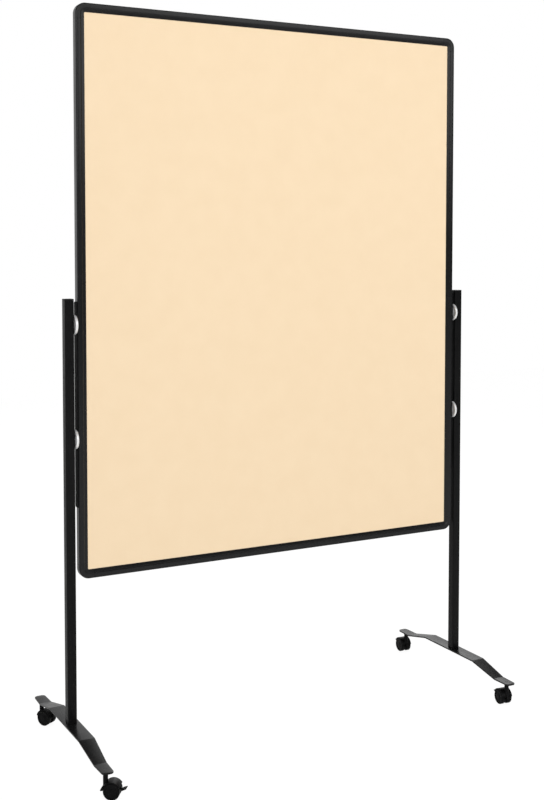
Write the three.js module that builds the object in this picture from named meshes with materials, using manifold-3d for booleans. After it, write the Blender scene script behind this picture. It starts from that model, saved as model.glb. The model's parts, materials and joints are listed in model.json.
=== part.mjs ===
// Mobile pinboard used as a room divider: a felt-covered panel in a channel
// frame, held between two tube posts that stand on bent steel feet with braked
// twin-wheel casters.
// Millimetres, +Z up. X runs along the board and the front faces -Y. The origin
// is on the floor, in the middle of the footprint of the board, feet and wheels.

import * as THREE from 'three';
import { mergeVertices } from 'three/addons/utils/BufferGeometryUtils.js';
import Module from 'manifold-3d';

const wasm = await Module();
wasm.setup();

// ---------------------------------------------------------------- dimensions

const FIT = 0.3; // gap left between pieces that seat on each other

// Board and its channel frame
const BOARD_WIDTH = 1200;
const BOARD_HEIGHT = 1500;
const BOARD_CLEARANCE = 474; // floor to the lower edge of the board
const CORE_THICKNESS = 12;
const FELT_THICKNESS = 1.8;
const FRAME_DEPTH = 24; // front to back
const FRAME_FACE = 24; // outer edge to the visible felt
const FRAME_EDGE_RADIUS = 3;
const FRAME_BAND = 13; // width of the raised band along the outer edge
const FRAME_STEP = 2.5; // width of the slope from the band down to the lip
const LIP_THICKNESS = 1.5;
const LIP_CHAMFER = 0.6;
const FRAME_WALL = 2.2;
const CHAMBER_WIDTH = 6; // hollow chamber behind the outer wall
const CORNER_RADIUS = 27;
const CORNER_LEG = 40; // reach of a corner piece along each side
const TONGUE_LENGTH = 30; // part of a corner piece that plugs into a rail

// Posts
const BOARD_GAP = 10; // side of the board to the post
const POST_SIZE = 25;
const POST_WALL = 1.5;
const POST_RADIUS = 3;
const POST_HEIGHT = 1212; // floor to the top of the end cap
const CAP_FLANGE = 4;
const CAP_BEVEL = 0.9;
const CAP_PLUG = 14;
const FOOT_PLUG_HEIGHT = 30;

// Hand screws, their keyhole rails and the nuts inside the posts
const SCREW_BELOW_TOP = 68;
const SCREW_SPACING = 300;
const DISC_RADIUS = 26;
const DISC_EDGE = 1.8;
const DISC_RIM = 3.5; // width of the raised ring round each face
const DISC_DISH = 0.8;
const DISC_HUB_RADIUS = 9;
const THREAD_RADIUS = 4;
const HEAD_RADIUS = 6.5;
const HEAD_THICKNESS = 2.2;
const NUT_RADIUS = 7.5;
const NUT_LENGTH = 8;
const NUT_COLLAR_RADIUS = 5.5;
const THREAD_OVERRUN = 2; // thread that shows behind the nut
const THREAD_CHAMFER = 0.8;
const RAIL_WIDTH = 20;
const RAIL_THICKNESS = 2.5;
const RAIL_LENGTH = 540;
const RAIL_BELOW_TOP = 8;
const RAIL_CORNER_RADIUS = 4;
const KEYHOLE_DROP = 16; // wide hole below the narrow end
const HEAD_CLEARANCE = 0.6;

// Feet
const FOOT_THICKNESS = 4;
const FOOT_RISE = 24; // centre above the end tabs
const FOOT_CENTRE_HALF = 121; // middle of the post to the inner bend
const FOOT_SLOPE_END = 221; // middle of the post to the outer bend
const FOOT_HALF_LENGTH = 280;
const FOOT_CENTRE_WIDTH = 43;
const FOOT_BEND_WIDTH = 34;
const FOOT_TIP_WIDTH = 30;
const FOOT_TIP_RADIUS = 9;
const FOOT_BEND_RADIUS = 22;
const BOLT_HEAD_RADIUS = 6.5;
const BOLT_HEAD_HEIGHT = 4;
const BOLT_GRIP = 22; // thread inside the plug

// Casters
const CASTER_HEIGHT = 66; // floor to the underside of the foot
const CASTER_FROM_CENTRE = 257; // middle of the foot to the swivel axis
const CASTER_TRAIL = 18; // swivel axis to wheel axle
const WHEEL_RADIUS = 21;
const WHEEL_WIDTH = 12.4;
const WHEEL_EDGE = 2;
const WHEEL_RIM = 4.5;
const WHEEL_DISH = 1.6;
const WHEEL_HUB_RADIUS = 7;
const WHEEL_HUB_DROP = 0.6;
const WHEEL_CAP = 4; // closed end of the hub bore
const WEB_THICKNESS = 8.6; // housing between the wheels
const WHEEL_SIDE_GAP = 0.5;
const AXLE_RADIUS = 3;
const HOOD_THICKNESS = 2.2;
const HOOD_INSET = 1; // side of the hood, in from the outer face of the wheel
const HOOD_GAP = 0.6; // wheel to the inside of the hood
const HOOD_BACK_ANGLE = 32; // degrees above level, behind the axle
const HOOD_FRONT_ANGLE = 168;
const WEB_INSET = 0.6; // edge of the web, in from the tread of the wheels
const WEB_DROP_ANGLE = 5; // degrees that the web reaches below level
const HUB_WEB_RADIUS = 9;
const BOSS_RADIUS = 6.3;
const BOSS_ABOVE_AXLE = 3; // lower end of the swivel boss
const STEM_RADIUS = 4;
const STEM_CHAMFER = 0.4;
const PIN_LENGTH = 26; // plain pin below the collar, in the swivel boss
const COLLAR_RADIUS = 6.3;
const COLLAR_HEIGHT = 3;
const NOSE_REACH = 13; // front tip of the housing, ahead of the swivel axis
const NOSE_BELOW_AXLE = 3;
const NOSE_DEPTH = 3;

// Brake pedals, placed from the wheel axle
const PIVOT_BEHIND = 10;
const PIVOT_ABOVE = 9;
const PIVOT_RADIUS = 1.5;
const ARM_THICKNESS = 4.4;
const ARM_HEIGHT = 5;
const ARM_EYE_ANGLE = 60; // degrees above level where the round eye of the arm starts
const PADDLE_GAP = 4; // tread of the wheels to the root of the paddle
const PADDLE_LENGTH = 11;
const PADDLE_RISE = 7; // height of the tip above the axle
const PADDLE_DROP = 4; // rise of the paddle from its root to its tip
const PADDLE_WIDTH = 18;
const PADDLE_THICKNESS = 3;
const POCKET_BELOW = 7; // room under the axle-to-pivot line for the arm
const POCKET_INNER = 1; // front end of the pocket, behind the axle

// Caster positions: which post, which end of the foot, and where the wheels
// trail to, in degrees from +X
const CASTERS = [
  { name: 'front_left', side: -1, end: -1, heading: -36 },
  { name: 'rear_left', side: -1, end: 1, heading: -57 },
  { name: 'rear_right', side: 1, end: 1, heading: 86 },
  { name: 'front_right', side: 1, end: -1, heading: 84 },
];

// Facets round a full turn, and steps in a rounded corner
const WHEEL_FACETS = 20;
const DISC_FACETS = 20;
const BORE_FACETS = 12;
const NUT_FACETS = 6;
const HOOD_STEPS = 10;
const KEYHOLE_STEPS = 6;
const CORNER_STEPS = 7;
const BEND_STEPS = 3;
const EDGE_STEPS = 3;

// ------------------------------------------------------- derived dimensions

const FELT_FACE = CORE_THICKNESS / 2 + FIT + FELT_THICKNESS;
const POCKET_HALF = FELT_FACE + FIT;
const LIP_FACE = POCKET_HALF + LIP_THICKNESS;
const POCKET_FLOOR = 2 * FRAME_WALL + CHAMBER_WIDTH;
const PANEL_INSET = POCKET_FLOOR + FIT;
const CHAMBER_HALF = FRAME_DEPTH / 2 - FRAME_WALL;
const BOARD_MIDDLE = BOARD_CLEARANCE + BOARD_HEIGHT / 2;

const BOARD_SIDE = BOARD_WIDTH / 2;
const POST_X = BOARD_SIDE + BOARD_GAP + POST_SIZE / 2;
const TAB_TOP = CASTER_HEIGHT + FOOT_THICKNESS;
const FOOT_TOP = TAB_TOP + FOOT_RISE;
const POST_BASE = FOOT_TOP + FIT;
const POST_END = POST_HEIGHT - CAP_FLANGE - FIT;

const THREAD_BORE = THREAD_RADIUS + FIT;
const UPPER_SCREW = POST_HEIGHT - SCREW_BELOW_TOP;
const SCREW_HEIGHTS = [UPPER_SCREW - SCREW_SPACING, UPPER_SCREW];
const DISC_THICKNESS = BOARD_GAP - RAIL_THICKNESS - 3 * FIT;
const RAIL_TOP = POST_HEIGHT - RAIL_BELOW_TOP;

const WHEEL_BORE = AXLE_RADIUS + FIT;
const WHEEL_INNER = WEB_THICKNESS / 2 + WHEEL_SIDE_GAP;
const WHEEL_OUTER = WHEEL_INNER + WHEEL_WIDTH;
const WHEEL_RING = WHEEL_RADIUS / Math.cos(Math.PI / WHEEL_FACETS); // flats touch the floor
const HOOD_BORE = WHEEL_RING + HOOD_GAP;
const HOOD_RADIUS = HOOD_BORE + HOOD_THICKNESS;
const COLLAR_TOP = CASTER_HEIGHT - FIT;
const COLLAR_BASE = COLLAR_TOP - COLLAR_HEIGHT;
const PIN_END = COLLAR_BASE - PIN_LENGTH;
const PIVOT_X = CASTER_TRAIL + PIVOT_BEHIND;
const PIVOT_Z = WHEEL_RADIUS + PIVOT_ABOVE;

// ----------------------------------------------------------------- materials

const FINISHES = {
  felt: { color: 0xf3dcb8, roughness: 1, metalness: 0 },
  core: { color: 0xb9a27c, roughness: 0.9, metalness: 0 },
  anodised: { color: 0x26272a, roughness: 0.38, metalness: 0.7 },
  cornerPlastic: { color: 0x232427, roughness: 0.5, metalness: 0 },
  powderCoat: { color: 0x202123, roughness: 0.5, metalness: 0.2 },
  steel: { color: 0xc9ccd0, roughness: 0.25, metalness: 1 },
  blackSteel: { color: 0x1c1d1f, roughness: 0.45, metalness: 0.5 },
  blackPlastic: { color: 0x141416, roughness: 0.55, metalness: 0 },
};

// ------------------------------------------------------------- shape helpers

// Bare geometry: shared vertices merged and collapsed triangles dropped.
function weld(geometry) {
  const bare = new THREE.BufferGeometry();
  bare.setAttribute('position', geometry.getAttribute('position').clone());
  if (geometry.index) bare.setIndex(geometry.index.clone());
  const merged = mergeVertices(bare);
  const index = [];
  for (let i = 0; i < merged.index.count; i += 3) {
    const [a, b, c] = [0, 1, 2].map((k) => merged.index.getX(i + k));
    if (a !== b && b !== c && c !== a) index.push(a, b, c);
  }
  merged.setIndex(index);
  return merged;
}

function toSolid(geometry) {
  const bare = weld(geometry);
  const vertProperties = new Float32Array(bare.getAttribute('position').array);
  const triVerts = new Uint32Array(bare.index.array);
  return new wasm.Manifold(new wasm.Mesh({ numProp: 3, vertProperties, triVerts }));
}

function toGeometry(solid) {
  const { vertProperties, triVerts } = solid.getMesh();
  const geometry = new THREE.BufferGeometry();
  geometry.setAttribute('position', new THREE.BufferAttribute(vertProperties, 3));
  geometry.setIndex(new THREE.BufferAttribute(triVerts, 1));
  return geometry;
}

// First geometry with the others joined to it.
function join(first, ...others) {
  return toGeometry(others.reduce((whole, next) => whole.add(toSolid(next)), toSolid(first)));
}

// First geometry with the others cut from it.
function cut(first, ...others) {
  return toGeometry(others.reduce((rest, next) => rest.subtract(toSolid(next)), toSolid(first)));
}

function points(pairs) {
  return pairs.map(([x, y]) => new THREE.Vector2(x, y));
}

function arc(centreX, centreY, radius, fromDegrees, toDegrees, steps) {
  const result = [];
  for (let i = 0; i <= steps; i += 1) {
    const angle = THREE.MathUtils.degToRad(fromDegrees + ((toDegrees - fromDegrees) * i) / steps);
    result.push([centreX + radius * Math.cos(angle), centreY + radius * Math.sin(angle)]);
  }
  return result;
}

function roundedRectangle(width, height, radius, steps = EDGE_STEPS) {
  const x = width / 2 - radius;
  const y = height / 2 - radius;
  return points([
    ...arc(x, y, radius, 0, 90, steps),
    ...arc(-x, y, radius, 90, 180, steps),
    ...arc(-x, -y, radius, 180, 270, steps),
    ...arc(x, -y, radius, 270, 360, steps),
  ]);
}

function circle(centreX, centreY, radius, facets = BORE_FACETS) {
  return points(arc(centreX, centreY, radius, 0, 360 - 360 / facets, facets - 1));
}

// Outline extruded along local +Z from 0 to depth, with optional holes.
function extrude(outline, depth, holes = [], options = {}) {
  const shape = new THREE.Shape(outline);
  for (const hole of holes) shape.holes.push(new THREE.Path(hole));
  return new THREE.ExtrudeGeometry(shape, { depth, bevelEnabled: false, ...options });
}

// Turns an extrusion so that its local X, Y and Z lie along the given axes.
function turned(geometry, x, y, z) {
  const basis = new THREE.Matrix4().makeBasis(
    new THREE.Vector3(...x),
    new THREE.Vector3(...y),
    new THREE.Vector3(...z),
  );
  return geometry.applyMatrix4(basis);
}

// Outline in Y and Z, extruded along X from `start` to `end`.
function alongX(outline, start, end, holes) {
  const bar = extrude(outline, end - start, holes);
  return turned(bar, [0, 1, 0], [0, 0, 1], [1, 0, 0]).translate(start, 0, 0);
}

// Outline in X and Z, extruded along Y from `start` to `end`.
function alongY(outline, start, end, holes) {
  const bar = extrude(outline, end - start, holes);
  return turned(bar, [1, 0, 0], [0, 0, 1], [0, -1, 0]).translate(0, end, 0);
}

// Outline in X and Y, extruded along Z from `start` to `end`.
function alongZ(outline, start, end, holes, options) {
  return extrude(outline, end - start, holes, options).translate(0, 0, start);
}

// Profile of [radius, height] pairs turned round the local Y axis. A facet, not
// an edge, faces each axis.
function revolve(profile, facets) {
  return weld(new THREE.LatheGeometry(points(profile), facets, Math.PI / facets));
}

function block(x, y, z) {
  const size = [x[1] - x[0], y[1] - y[0], z[1] - z[0]];
  const middle = [x, y, z].map(([low, high]) => (low + high) / 2);
  return new THREE.BoxGeometry(...size).translate(...middle);
}

function mesh(name, geometry, finish) {
  const result = new THREE.Mesh(geometry, new THREE.MeshStandardMaterial(FINISHES[finish]));
  result.name = name;
  return result;
}

// --------------------------------------------------------------------- board

// Section of the frame. X is the depth of the frame, and Y runs outwards from
// the felt, with the outer edge at 0.
function channelSection() {
  const half = FRAME_DEPTH / 2;
  const inward = half - FRAME_EDGE_RADIUS;
  const rightSide = [
    ...arc(inward, -FRAME_EDGE_RADIUS, FRAME_EDGE_RADIUS, 90, 0, EDGE_STEPS),
    [half, -FRAME_BAND],
    [LIP_FACE, -FRAME_BAND - FRAME_STEP],
    [LIP_FACE, -FRAME_FACE + LIP_CHAMFER],
    [LIP_FACE - LIP_CHAMFER, -FRAME_FACE],
    [POCKET_HALF, -FRAME_FACE],
    [POCKET_HALF, -POCKET_FLOOR],
  ];
  const leftSide = rightSide.map(([x, y]) => [-x, y]).reverse();
  return points([...rightSide, ...leftSide]);
}

function chamberOutline(clearance) {
  const half = CHAMBER_HALF - clearance;
  const outer = -FRAME_WALL - clearance;
  const inner = -FRAME_WALL - CHAMBER_WIDTH + clearance;
  return points([[-half, inner], [half, inner], [half, outer], [-half, outer]]);
}

// A straight rail, extruded along local +Z with its outer edge at local Y = 0.
function railGeometry(length) {
  return extrude(channelSection(), length, [chamberOutline(0)]);
}

// Places a rail: `start` is its first end on the outer edge, `outward` points
// away from the felt and `along` down its length.
function placeRail(name, geometry, start, outward, along) {
  const rail = mesh(name, geometry, 'anodised');
  const y = new THREE.Vector3(...outward);
  const z = new THREE.Vector3(...along);
  const x = new THREE.Vector3().crossVectors(y, z);
  rail.setRotationFromMatrix(new THREE.Matrix4().makeBasis(x, y, z));
  rail.position.set(...start);
  return rail;
}

// Cut in a stile's outer wall where the heads of the hand screws sit and slide.
function headCuts(stileBase) {
  const half = HEAD_RADIUS + HEAD_CLEARANCE;
  const depth = FRAME_WALL + FIT;
  return SCREW_HEIGHTS.map((height) => {
    const low = height - stileBase - KEYHOLE_DROP - half;
    const high = height - stileBase + half;
    return block([-half, half], [-depth, depth], [low, high]);
  });
}

function frameRails() {
  const inset = CORNER_LEG + FIT;
  const across = BOARD_WIDTH - 2 * inset;
  const upright = BOARD_HEIGHT - 2 * inset;
  const base = BOARD_CLEARANCE + inset;
  const top = BOARD_CLEARANCE + BOARD_HEIGHT;
  const stile = () => cut(railGeometry(upright), ...headCuts(base));
  return [
    placeRail('frame_top_rail', railGeometry(across), [-across / 2, 0, top], [0, 0, 1], [1, 0, 0]),
    placeRail(
      'frame_bottom_rail',
      railGeometry(across),
      [-across / 2, 0, BOARD_CLEARANCE],
      [0, 0, -1],
      [1, 0, 0],
    ),
    placeRail('frame_left_stile', stile(), [-BOARD_SIDE, 0, base], [-1, 0, 0], [0, 0, 1]),
    placeRail('frame_right_stile', stile(), [BOARD_SIDE, 0, base], [1, 0, 0], [0, 0, 1]),
  ];
}

// Sweeps the frame section round the corner of the board. Local X and Z run
// along the sides, and the sharp corner point is at the local origin.
function sweptCorner() {
  const section = channelSection();
  const stations = [{ x: 0, z: -CORNER_LEG, angle: 0 }];
  for (const angle of arc(0, 0, 1, 0, 90, CORNER_STEPS).map(([x, y]) => Math.atan2(y, x))) {
    const x = CORNER_RADIUS * (Math.cos(angle) - 1);
    const z = CORNER_RADIUS * (Math.sin(angle) - 1);
    stations.push({ x, z, angle });
  }
  stations.push({ x: -CORNER_LEG, z: 0, angle: Math.PI / 2 });

  const position = stations.flatMap(({ x, z, angle }) =>
    section.flatMap((p) => [x + p.y * Math.cos(angle), p.x, z + p.y * Math.sin(angle)]),
  );
  const count = section.length;
  const index = [];
  for (let ring = 0; ring + 1 < stations.length; ring += 1) {
    for (let i = 0; i < count; i += 1) {
      const a = ring * count + i;
      const b = ring * count + ((i + 1) % count);
      index.push(a, b, a + count, a + count, b, b + count);
    }
  }
  const last = (stations.length - 1) * count;
  for (const [a, b, c] of THREE.ShapeUtils.triangulateShape(section, [])) {
    index.push(a, b, c, last + a, last + c, last + b);
  }
  const geometry = new THREE.BufferGeometry();
  geometry.setAttribute('position', new THREE.Float32BufferAttribute(position, 3));
  geometry.setIndex(index);
  return geometry;
}

// Moulded corner: the swept section with a tongue for the chamber of each rail.
function cornerGeometry() {
  const root = CORNER_LEG - FRAME_WALL; // the tongue starts inside the corner
  const end = CORNER_LEG + FIT + TONGUE_LENGTH;
  const section = chamberOutline(FIT);
  const upright = turned(extrude(section, end - root), [0, 1, 0], [1, 0, 0], [0, 0, -1]);
  const level = turned(extrude(section, end - root), [0, -1, 0], [0, 0, 1], [-1, 0, 0]);
  return join(sweptCorner(), upright.translate(0, 0, -root), level.translate(-root, 0, 0));
}

function corners() {
  const top = BOARD_CLEARANCE + BOARD_HEIGHT;
  const places = [
    ['top_right', BOARD_SIDE, top],
    ['bottom_right', BOARD_SIDE, BOARD_CLEARANCE],
    ['bottom_left', -BOARD_SIDE, BOARD_CLEARANCE],
    ['top_left', -BOARD_SIDE, top],
  ];
  return places.map(([name, x, z], quarter) => {
    const corner = mesh(`frame_corner_${name}`, cornerGeometry(), 'cornerPlastic');
    corner.rotation.y = (quarter * Math.PI) / 2;
    corner.position.set(x, 0, z);
    return corner;
  });
}

// One layer of the panel, from `front` to `back` in Y.
function layer(name, front, back, finish) {
  const width = BOARD_WIDTH - 2 * PANEL_INSET;
  const height = BOARD_HEIGHT - 2 * PANEL_INSET;
  const outline = roundedRectangle(width, height, CORNER_RADIUS - PANEL_INSET);
  const result = mesh(name, alongY(outline, front, back), finish);
  result.position.z = BOARD_MIDDLE;
  return result;
}

function board() {
  const core = CORE_THICKNESS / 2;
  const group = new THREE.Group();
  group.add(layer('panel_core', -core, core, 'core'));
  group.add(layer('felt_front', -FELT_FACE, -core - FIT, 'felt'));
  group.add(layer('felt_rear', core + FIT, FELT_FACE, 'felt'));
  group.add(...frameRails(), ...corners());
  return group;
}

// --------------------------------------------------------------------- stand
// One side of the stand is built for the right of the board, with local X
// measured from the middle of its post and the board towards -X.

const BOARD_FACE = BOARD_SIDE - POST_X; // side of the board in a stand's own X

// Keyhole: narrow end round the neck of the screw, wide hole below it.
function keyhole(height) {
  const wide = HEAD_RADIUS + HEAD_CLEARANCE;
  const opening = THREE.MathUtils.radToDeg(Math.asin(THREAD_BORE / wide));
  return points([
    ...arc(0, height, THREAD_BORE, 0, 180, KEYHOLE_STEPS),
    ...arc(0, height - KEYHOLE_DROP, wide, 90 + opening, 450 - opening, 2 * KEYHOLE_STEPS),
  ]);
}

function keyholeRail(side) {
  const middle = RAIL_TOP - RAIL_LENGTH / 2;
  const outline = roundedRectangle(RAIL_WIDTH, RAIL_LENGTH, RAIL_CORNER_RADIUS);
  const holes = SCREW_HEIGHTS.map((height) => keyhole(height - middle));
  const near = BOARD_FACE + FIT;
  const bar = alongX(outline, near, near + RAIL_THICKNESS, holes);
  const rail = mesh(`${side}_keyhole_rail`, bar, 'powderCoat');
  rail.position.z = middle;
  return rail;
}

// Square tube, open at both ends, with a hole for each nut in its inner wall.
function post(side) {
  const inside = POST_SIZE - 2 * POST_WALL;
  const outer = roundedRectangle(POST_SIZE, POST_SIZE, POST_RADIUS);
  const bore = roundedRectangle(inside, inside, POST_RADIUS - POST_WALL);
  const tube = alongZ(outer, POST_BASE, POST_END, [bore]);
  const wall = -POST_SIZE / 2;
  const hole = (height) =>
    alongX(circle(0, height, NUT_COLLAR_RADIUS + FIT), wall - POST_WALL, wall + 2 * POST_WALL);
  return mesh(`${side}_post`, cut(tube, ...SCREW_HEIGHTS.map(hole)), 'powderCoat');
}

// Plug that fills the tube, less the fitting gap.
function plugOutline() {
  const size = POST_SIZE - 2 * POST_WALL - 2 * FIT;
  return roundedRectangle(size, size, Math.max(POST_RADIUS - POST_WALL - FIT, FIT));
}

function postCap(side) {
  const rim = POST_SIZE - 2 * CAP_BEVEL;
  const outline = roundedRectangle(rim, rim, POST_RADIUS - CAP_BEVEL);
  const bevel = { bevelEnabled: true, bevelSize: CAP_BEVEL, bevelThickness: CAP_BEVEL, bevelSegments: 1 };
  const base = POST_HEIGHT - CAP_FLANGE;
  const flange = alongZ(outline, base + CAP_BEVEL, POST_HEIGHT - CAP_BEVEL, [], bevel);
  const plug = alongZ(plugOutline(), base - CAP_PLUG, base + CAP_FLANGE / 2);
  return mesh(`${side}_post_cap`, join(flange, plug), 'blackPlastic');
}

// Threaded plug in the lower end of the tube.
function footPlug(side) {
  const top = POST_BASE + FOOT_PLUG_HEIGHT;
  const plug = alongZ(plugOutline(), POST_BASE, top, [circle(0, 0, THREAD_BORE)]);
  return mesh(`${side}_foot_plug`, plug, 'steel');
}

// Nut welded behind the inner wall of the post, with a collar through the wall.
function postNut(name, height) {
  const wall = -POST_SIZE / 2;
  const seat = wall + POST_WALL + FIT;
  const bore = circle(0, 0, THREAD_BORE);
  const hexagon = alongX(circle(0, 0, NUT_RADIUS, NUT_FACETS), seat, seat + NUT_LENGTH);
  const collar = alongX(circle(0, 0, NUT_COLLAR_RADIUS), wall, seat + NUT_LENGTH / 2);
  const hole = alongX(bore, wall - POST_WALL, seat + 2 * NUT_LENGTH);
  const nut = mesh(name, cut(join(hexagon, collar), hole), 'steel');
  nut.position.z = height;
  return nut;
}

// Hand screw, turned about X: head behind the keyhole rail, neck, disc in the
// gap between board and post, and the thread that goes into the nut.
function handScrew(name, height) {
  const neck = -RAIL_THICKNESS - 2 * FIT;
  const tip = DISC_THICKNESS + FIT + POST_WALL + FIT + NUT_LENGTH + THREAD_OVERRUN;
  const ring = DISC_RADIUS - DISC_EDGE;
  const flat = ring - DISC_RIM;
  const profile = [
    [0, neck - HEAD_THICKNESS],
    [HEAD_RADIUS, neck - HEAD_THICKNESS],
    [HEAD_RADIUS, neck],
    [THREAD_RADIUS, neck],
    [THREAD_RADIUS, 0],
    [DISC_HUB_RADIUS, 0],
    [DISC_HUB_RADIUS + DISC_DISH, DISC_DISH],
    [flat, DISC_DISH],
    [ring, 0],
    [DISC_RADIUS, DISC_EDGE],
    [DISC_RADIUS, DISC_THICKNESS - DISC_EDGE],
    [ring, DISC_THICKNESS],
    [flat, DISC_THICKNESS - DISC_DISH],
    [DISC_HUB_RADIUS + DISC_DISH, DISC_THICKNESS - DISC_DISH],
    [DISC_HUB_RADIUS, DISC_THICKNESS],
    [THREAD_RADIUS, DISC_THICKNESS],
    [THREAD_RADIUS, tip - THREAD_CHAMFER],
    [THREAD_RADIUS - THREAD_CHAMFER, tip],
    [0, tip],
  ];
  const geometry = turned(revolve(profile, DISC_FACETS), [0, 0, 1], [1, 0, 0], [0, 1, 0]);
  const screw = mesh(name, geometry, 'steel');
  screw.position.set(BOARD_FACE + RAIL_THICKNESS + 2 * FIT, 0, height);
  return screw;
}

// Centre line through `corners` ([y, z] pairs) with each bend rounded, as
// points that carry the upward normal of the strip there.
function bentLine(cornerPoints, radius) {
  const result = [];
  const line = points(cornerPoints);
  const direction = (a, b) => b.clone().sub(a).normalize();
  const normal = (d) => new THREE.Vector2(-d.y, d.x);
  line.forEach((corner, i) => {
    const before = i > 0 ? direction(line[i - 1], corner) : null;
    const after = i + 1 < line.length ? direction(corner, line[i + 1]) : null;
    if (!before || !after) {
      result.push({ point: corner, normal: normal(before ?? after) });
      return;
    }
    const turn = Math.atan2(before.cross(after), before.dot(after));
    const reach = radius * Math.tan(Math.abs(turn) / 2);
    const start = corner.clone().addScaledVector(before, -reach);
    const centre = start.clone().addScaledVector(normal(before), radius * Math.sign(turn));
    for (let step = 0; step <= BEND_STEPS; step += 1) {
      const angle = (turn * step) / BEND_STEPS;
      const point = start.clone().rotateAround(centre, angle);
      result.push({ point, normal: normal(before).rotateAround(new THREE.Vector2(), angle) });
    }
  });
  return result;
}

// Side outline of the foot: flat steel bent down to a level tab at each end.
function footSide() {
  const middle = FOOT_TOP - FOOT_THICKNESS / 2;
  const tab = TAB_TOP - FOOT_THICKNESS / 2;
  const line = bentLine(
    [
      [-FOOT_HALF_LENGTH, tab],
      [-FOOT_SLOPE_END, tab],
      [-FOOT_CENTRE_HALF, middle],
      [FOOT_CENTRE_HALF, middle],
      [FOOT_SLOPE_END, tab],
      [FOOT_HALF_LENGTH, tab],
    ],
    FOOT_BEND_RADIUS,
  );
  const half = FOOT_THICKNESS / 2;
  const upper = line.map(({ point, normal }) => point.clone().addScaledVector(normal, half));
  const lower = line.map(({ point, normal }) => point.clone().addScaledVector(normal, -half));
  return [...upper, ...lower.reverse()];
}

// Plan outline of the foot: widest between the inner bends, tapering to
// rounded tips.
function footPlan() {
  const tip = FOOT_TIP_WIDTH / 2 - FOOT_TIP_RADIUS;
  const straight = FOOT_HALF_LENGTH - FOOT_TIP_RADIUS;
  const rightHalf = [
    [FOOT_CENTRE_WIDTH / 2, -FOOT_CENTRE_HALF],
    [FOOT_CENTRE_WIDTH / 2, FOOT_CENTRE_HALF],
    [FOOT_BEND_WIDTH / 2, FOOT_SLOPE_END],
    ...arc(tip, straight, FOOT_TIP_RADIUS, 0, 90, EDGE_STEPS),
  ];
  const endTaper = [...rightHalf.slice(1), ...rightHalf.slice(2).reverse().map(([x, y]) => [-x, y])];
  const frontHalf = endTaper.map(([x, y]) => [-x, -y]);
  return points([
    ...endTaper,
    [-FOOT_CENTRE_WIDTH / 2, FOOT_CENTRE_HALF],
    ...frontHalf,
    [FOOT_CENTRE_WIDTH / 2, -FOOT_CENTRE_HALF],
  ]);
}

function foot(side) {
  const strip = alongX(footSide(), -FOOT_CENTRE_WIDTH, FOOT_CENTRE_WIDTH);
  const above = FOOT_TOP + FOOT_THICKNESS;
  const blank = alongZ(footPlan(), 0, above);
  const hole = (y, radius) => alongZ(circle(0, y, radius), 0, above);
  const bar = toGeometry(toSolid(strip).intersect(toSolid(blank)));
  const holes = [
    hole(0, THREAD_BORE),
    hole(CASTER_FROM_CENTRE, STEM_RADIUS + FIT),
    hole(-CASTER_FROM_CENTRE, STEM_RADIUS + FIT),
  ];
  return mesh(`${side}_foot`, cut(bar, ...holes), 'powderCoat');
}

// Screw from below through the foot into the plug of the post.
function footBolt(side) {
  const seat = FOOT_TOP - FOOT_THICKNESS - FIT;
  const profile = [
    [0, seat - BOLT_HEAD_HEIGHT],
    [BOLT_HEAD_RADIUS / 2, seat - BOLT_HEAD_HEIGHT],
    [BOLT_HEAD_RADIUS, seat - BOLT_HEAD_HEIGHT / 2],
    [BOLT_HEAD_RADIUS, seat],
    [THREAD_RADIUS, seat],
    [THREAD_RADIUS, POST_BASE + BOLT_GRIP],
    [0, POST_BASE + BOLT_GRIP],
  ];
  return mesh(`${side}_foot_bolt`, upright(profile, BORE_FACETS), 'steel');
}

// Profile of [radius, height] pairs turned round the Z axis.
function upright(profile, facets) {
  return turned(revolve(profile, facets), [0, 1, 0], [0, 0, 1], [1, 0, 0]);
}

function stand(side) {
  const group = new THREE.Group();
  group.add(keyholeRail(side), post(side), postCap(side), footPlug(side), foot(side), footBolt(side));
  SCREW_HEIGHTS.forEach((height, i) => {
    const level = ['lower', 'upper'][i];
    group.add(postNut(`${side}_${level}_post_nut`, height));
    group.add(handScrew(`${side}_${level}_hand_screw`, height));
  });
  return group;
}

// ------------------------------------------------------------------- casters
// A caster is built with its swivel axis on local Z and its wheels trailing to
// local +X, the floor at 0.

function wheel(name, direction) {
  const cap = WHEEL_OUTER - WHEEL_HUB_DROP;
  const dish = WHEEL_OUTER - WHEEL_DISH;
  const rim = WHEEL_RING - WHEEL_RIM;
  const profile = [
    [0, WHEEL_OUTER - WHEEL_CAP],
    [WHEEL_BORE, WHEEL_OUTER - WHEEL_CAP],
    [WHEEL_BORE, WHEEL_INNER],
    [WHEEL_RING, WHEEL_INNER],
    [WHEEL_RING, WHEEL_OUTER - WHEEL_EDGE],
    [WHEEL_RING - WHEEL_EDGE, WHEEL_OUTER],
    [rim, WHEEL_OUTER],
    [rim - WHEEL_DISH / 2, dish],
    [WHEEL_HUB_RADIUS + WHEEL_DISH / 2, dish],
    [WHEEL_HUB_RADIUS, cap],
    [0, cap],
  ];
  const result = mesh(name, revolve(profile, WHEEL_FACETS), 'blackPlastic');
  result.position.set(CASTER_TRAIL, 0, WHEEL_RADIUS);
  if (direction < 0) result.rotation.z = Math.PI;
  return result;
}

// Side outline of a round sector about the axle, closed by a straight chord.
function sector(radius, fromDegrees, toDegrees) {
  return points(arc(CASTER_TRAIL, WHEEL_RADIUS, radius, fromDegrees, toDegrees, HOOD_STEPS));
}

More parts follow.
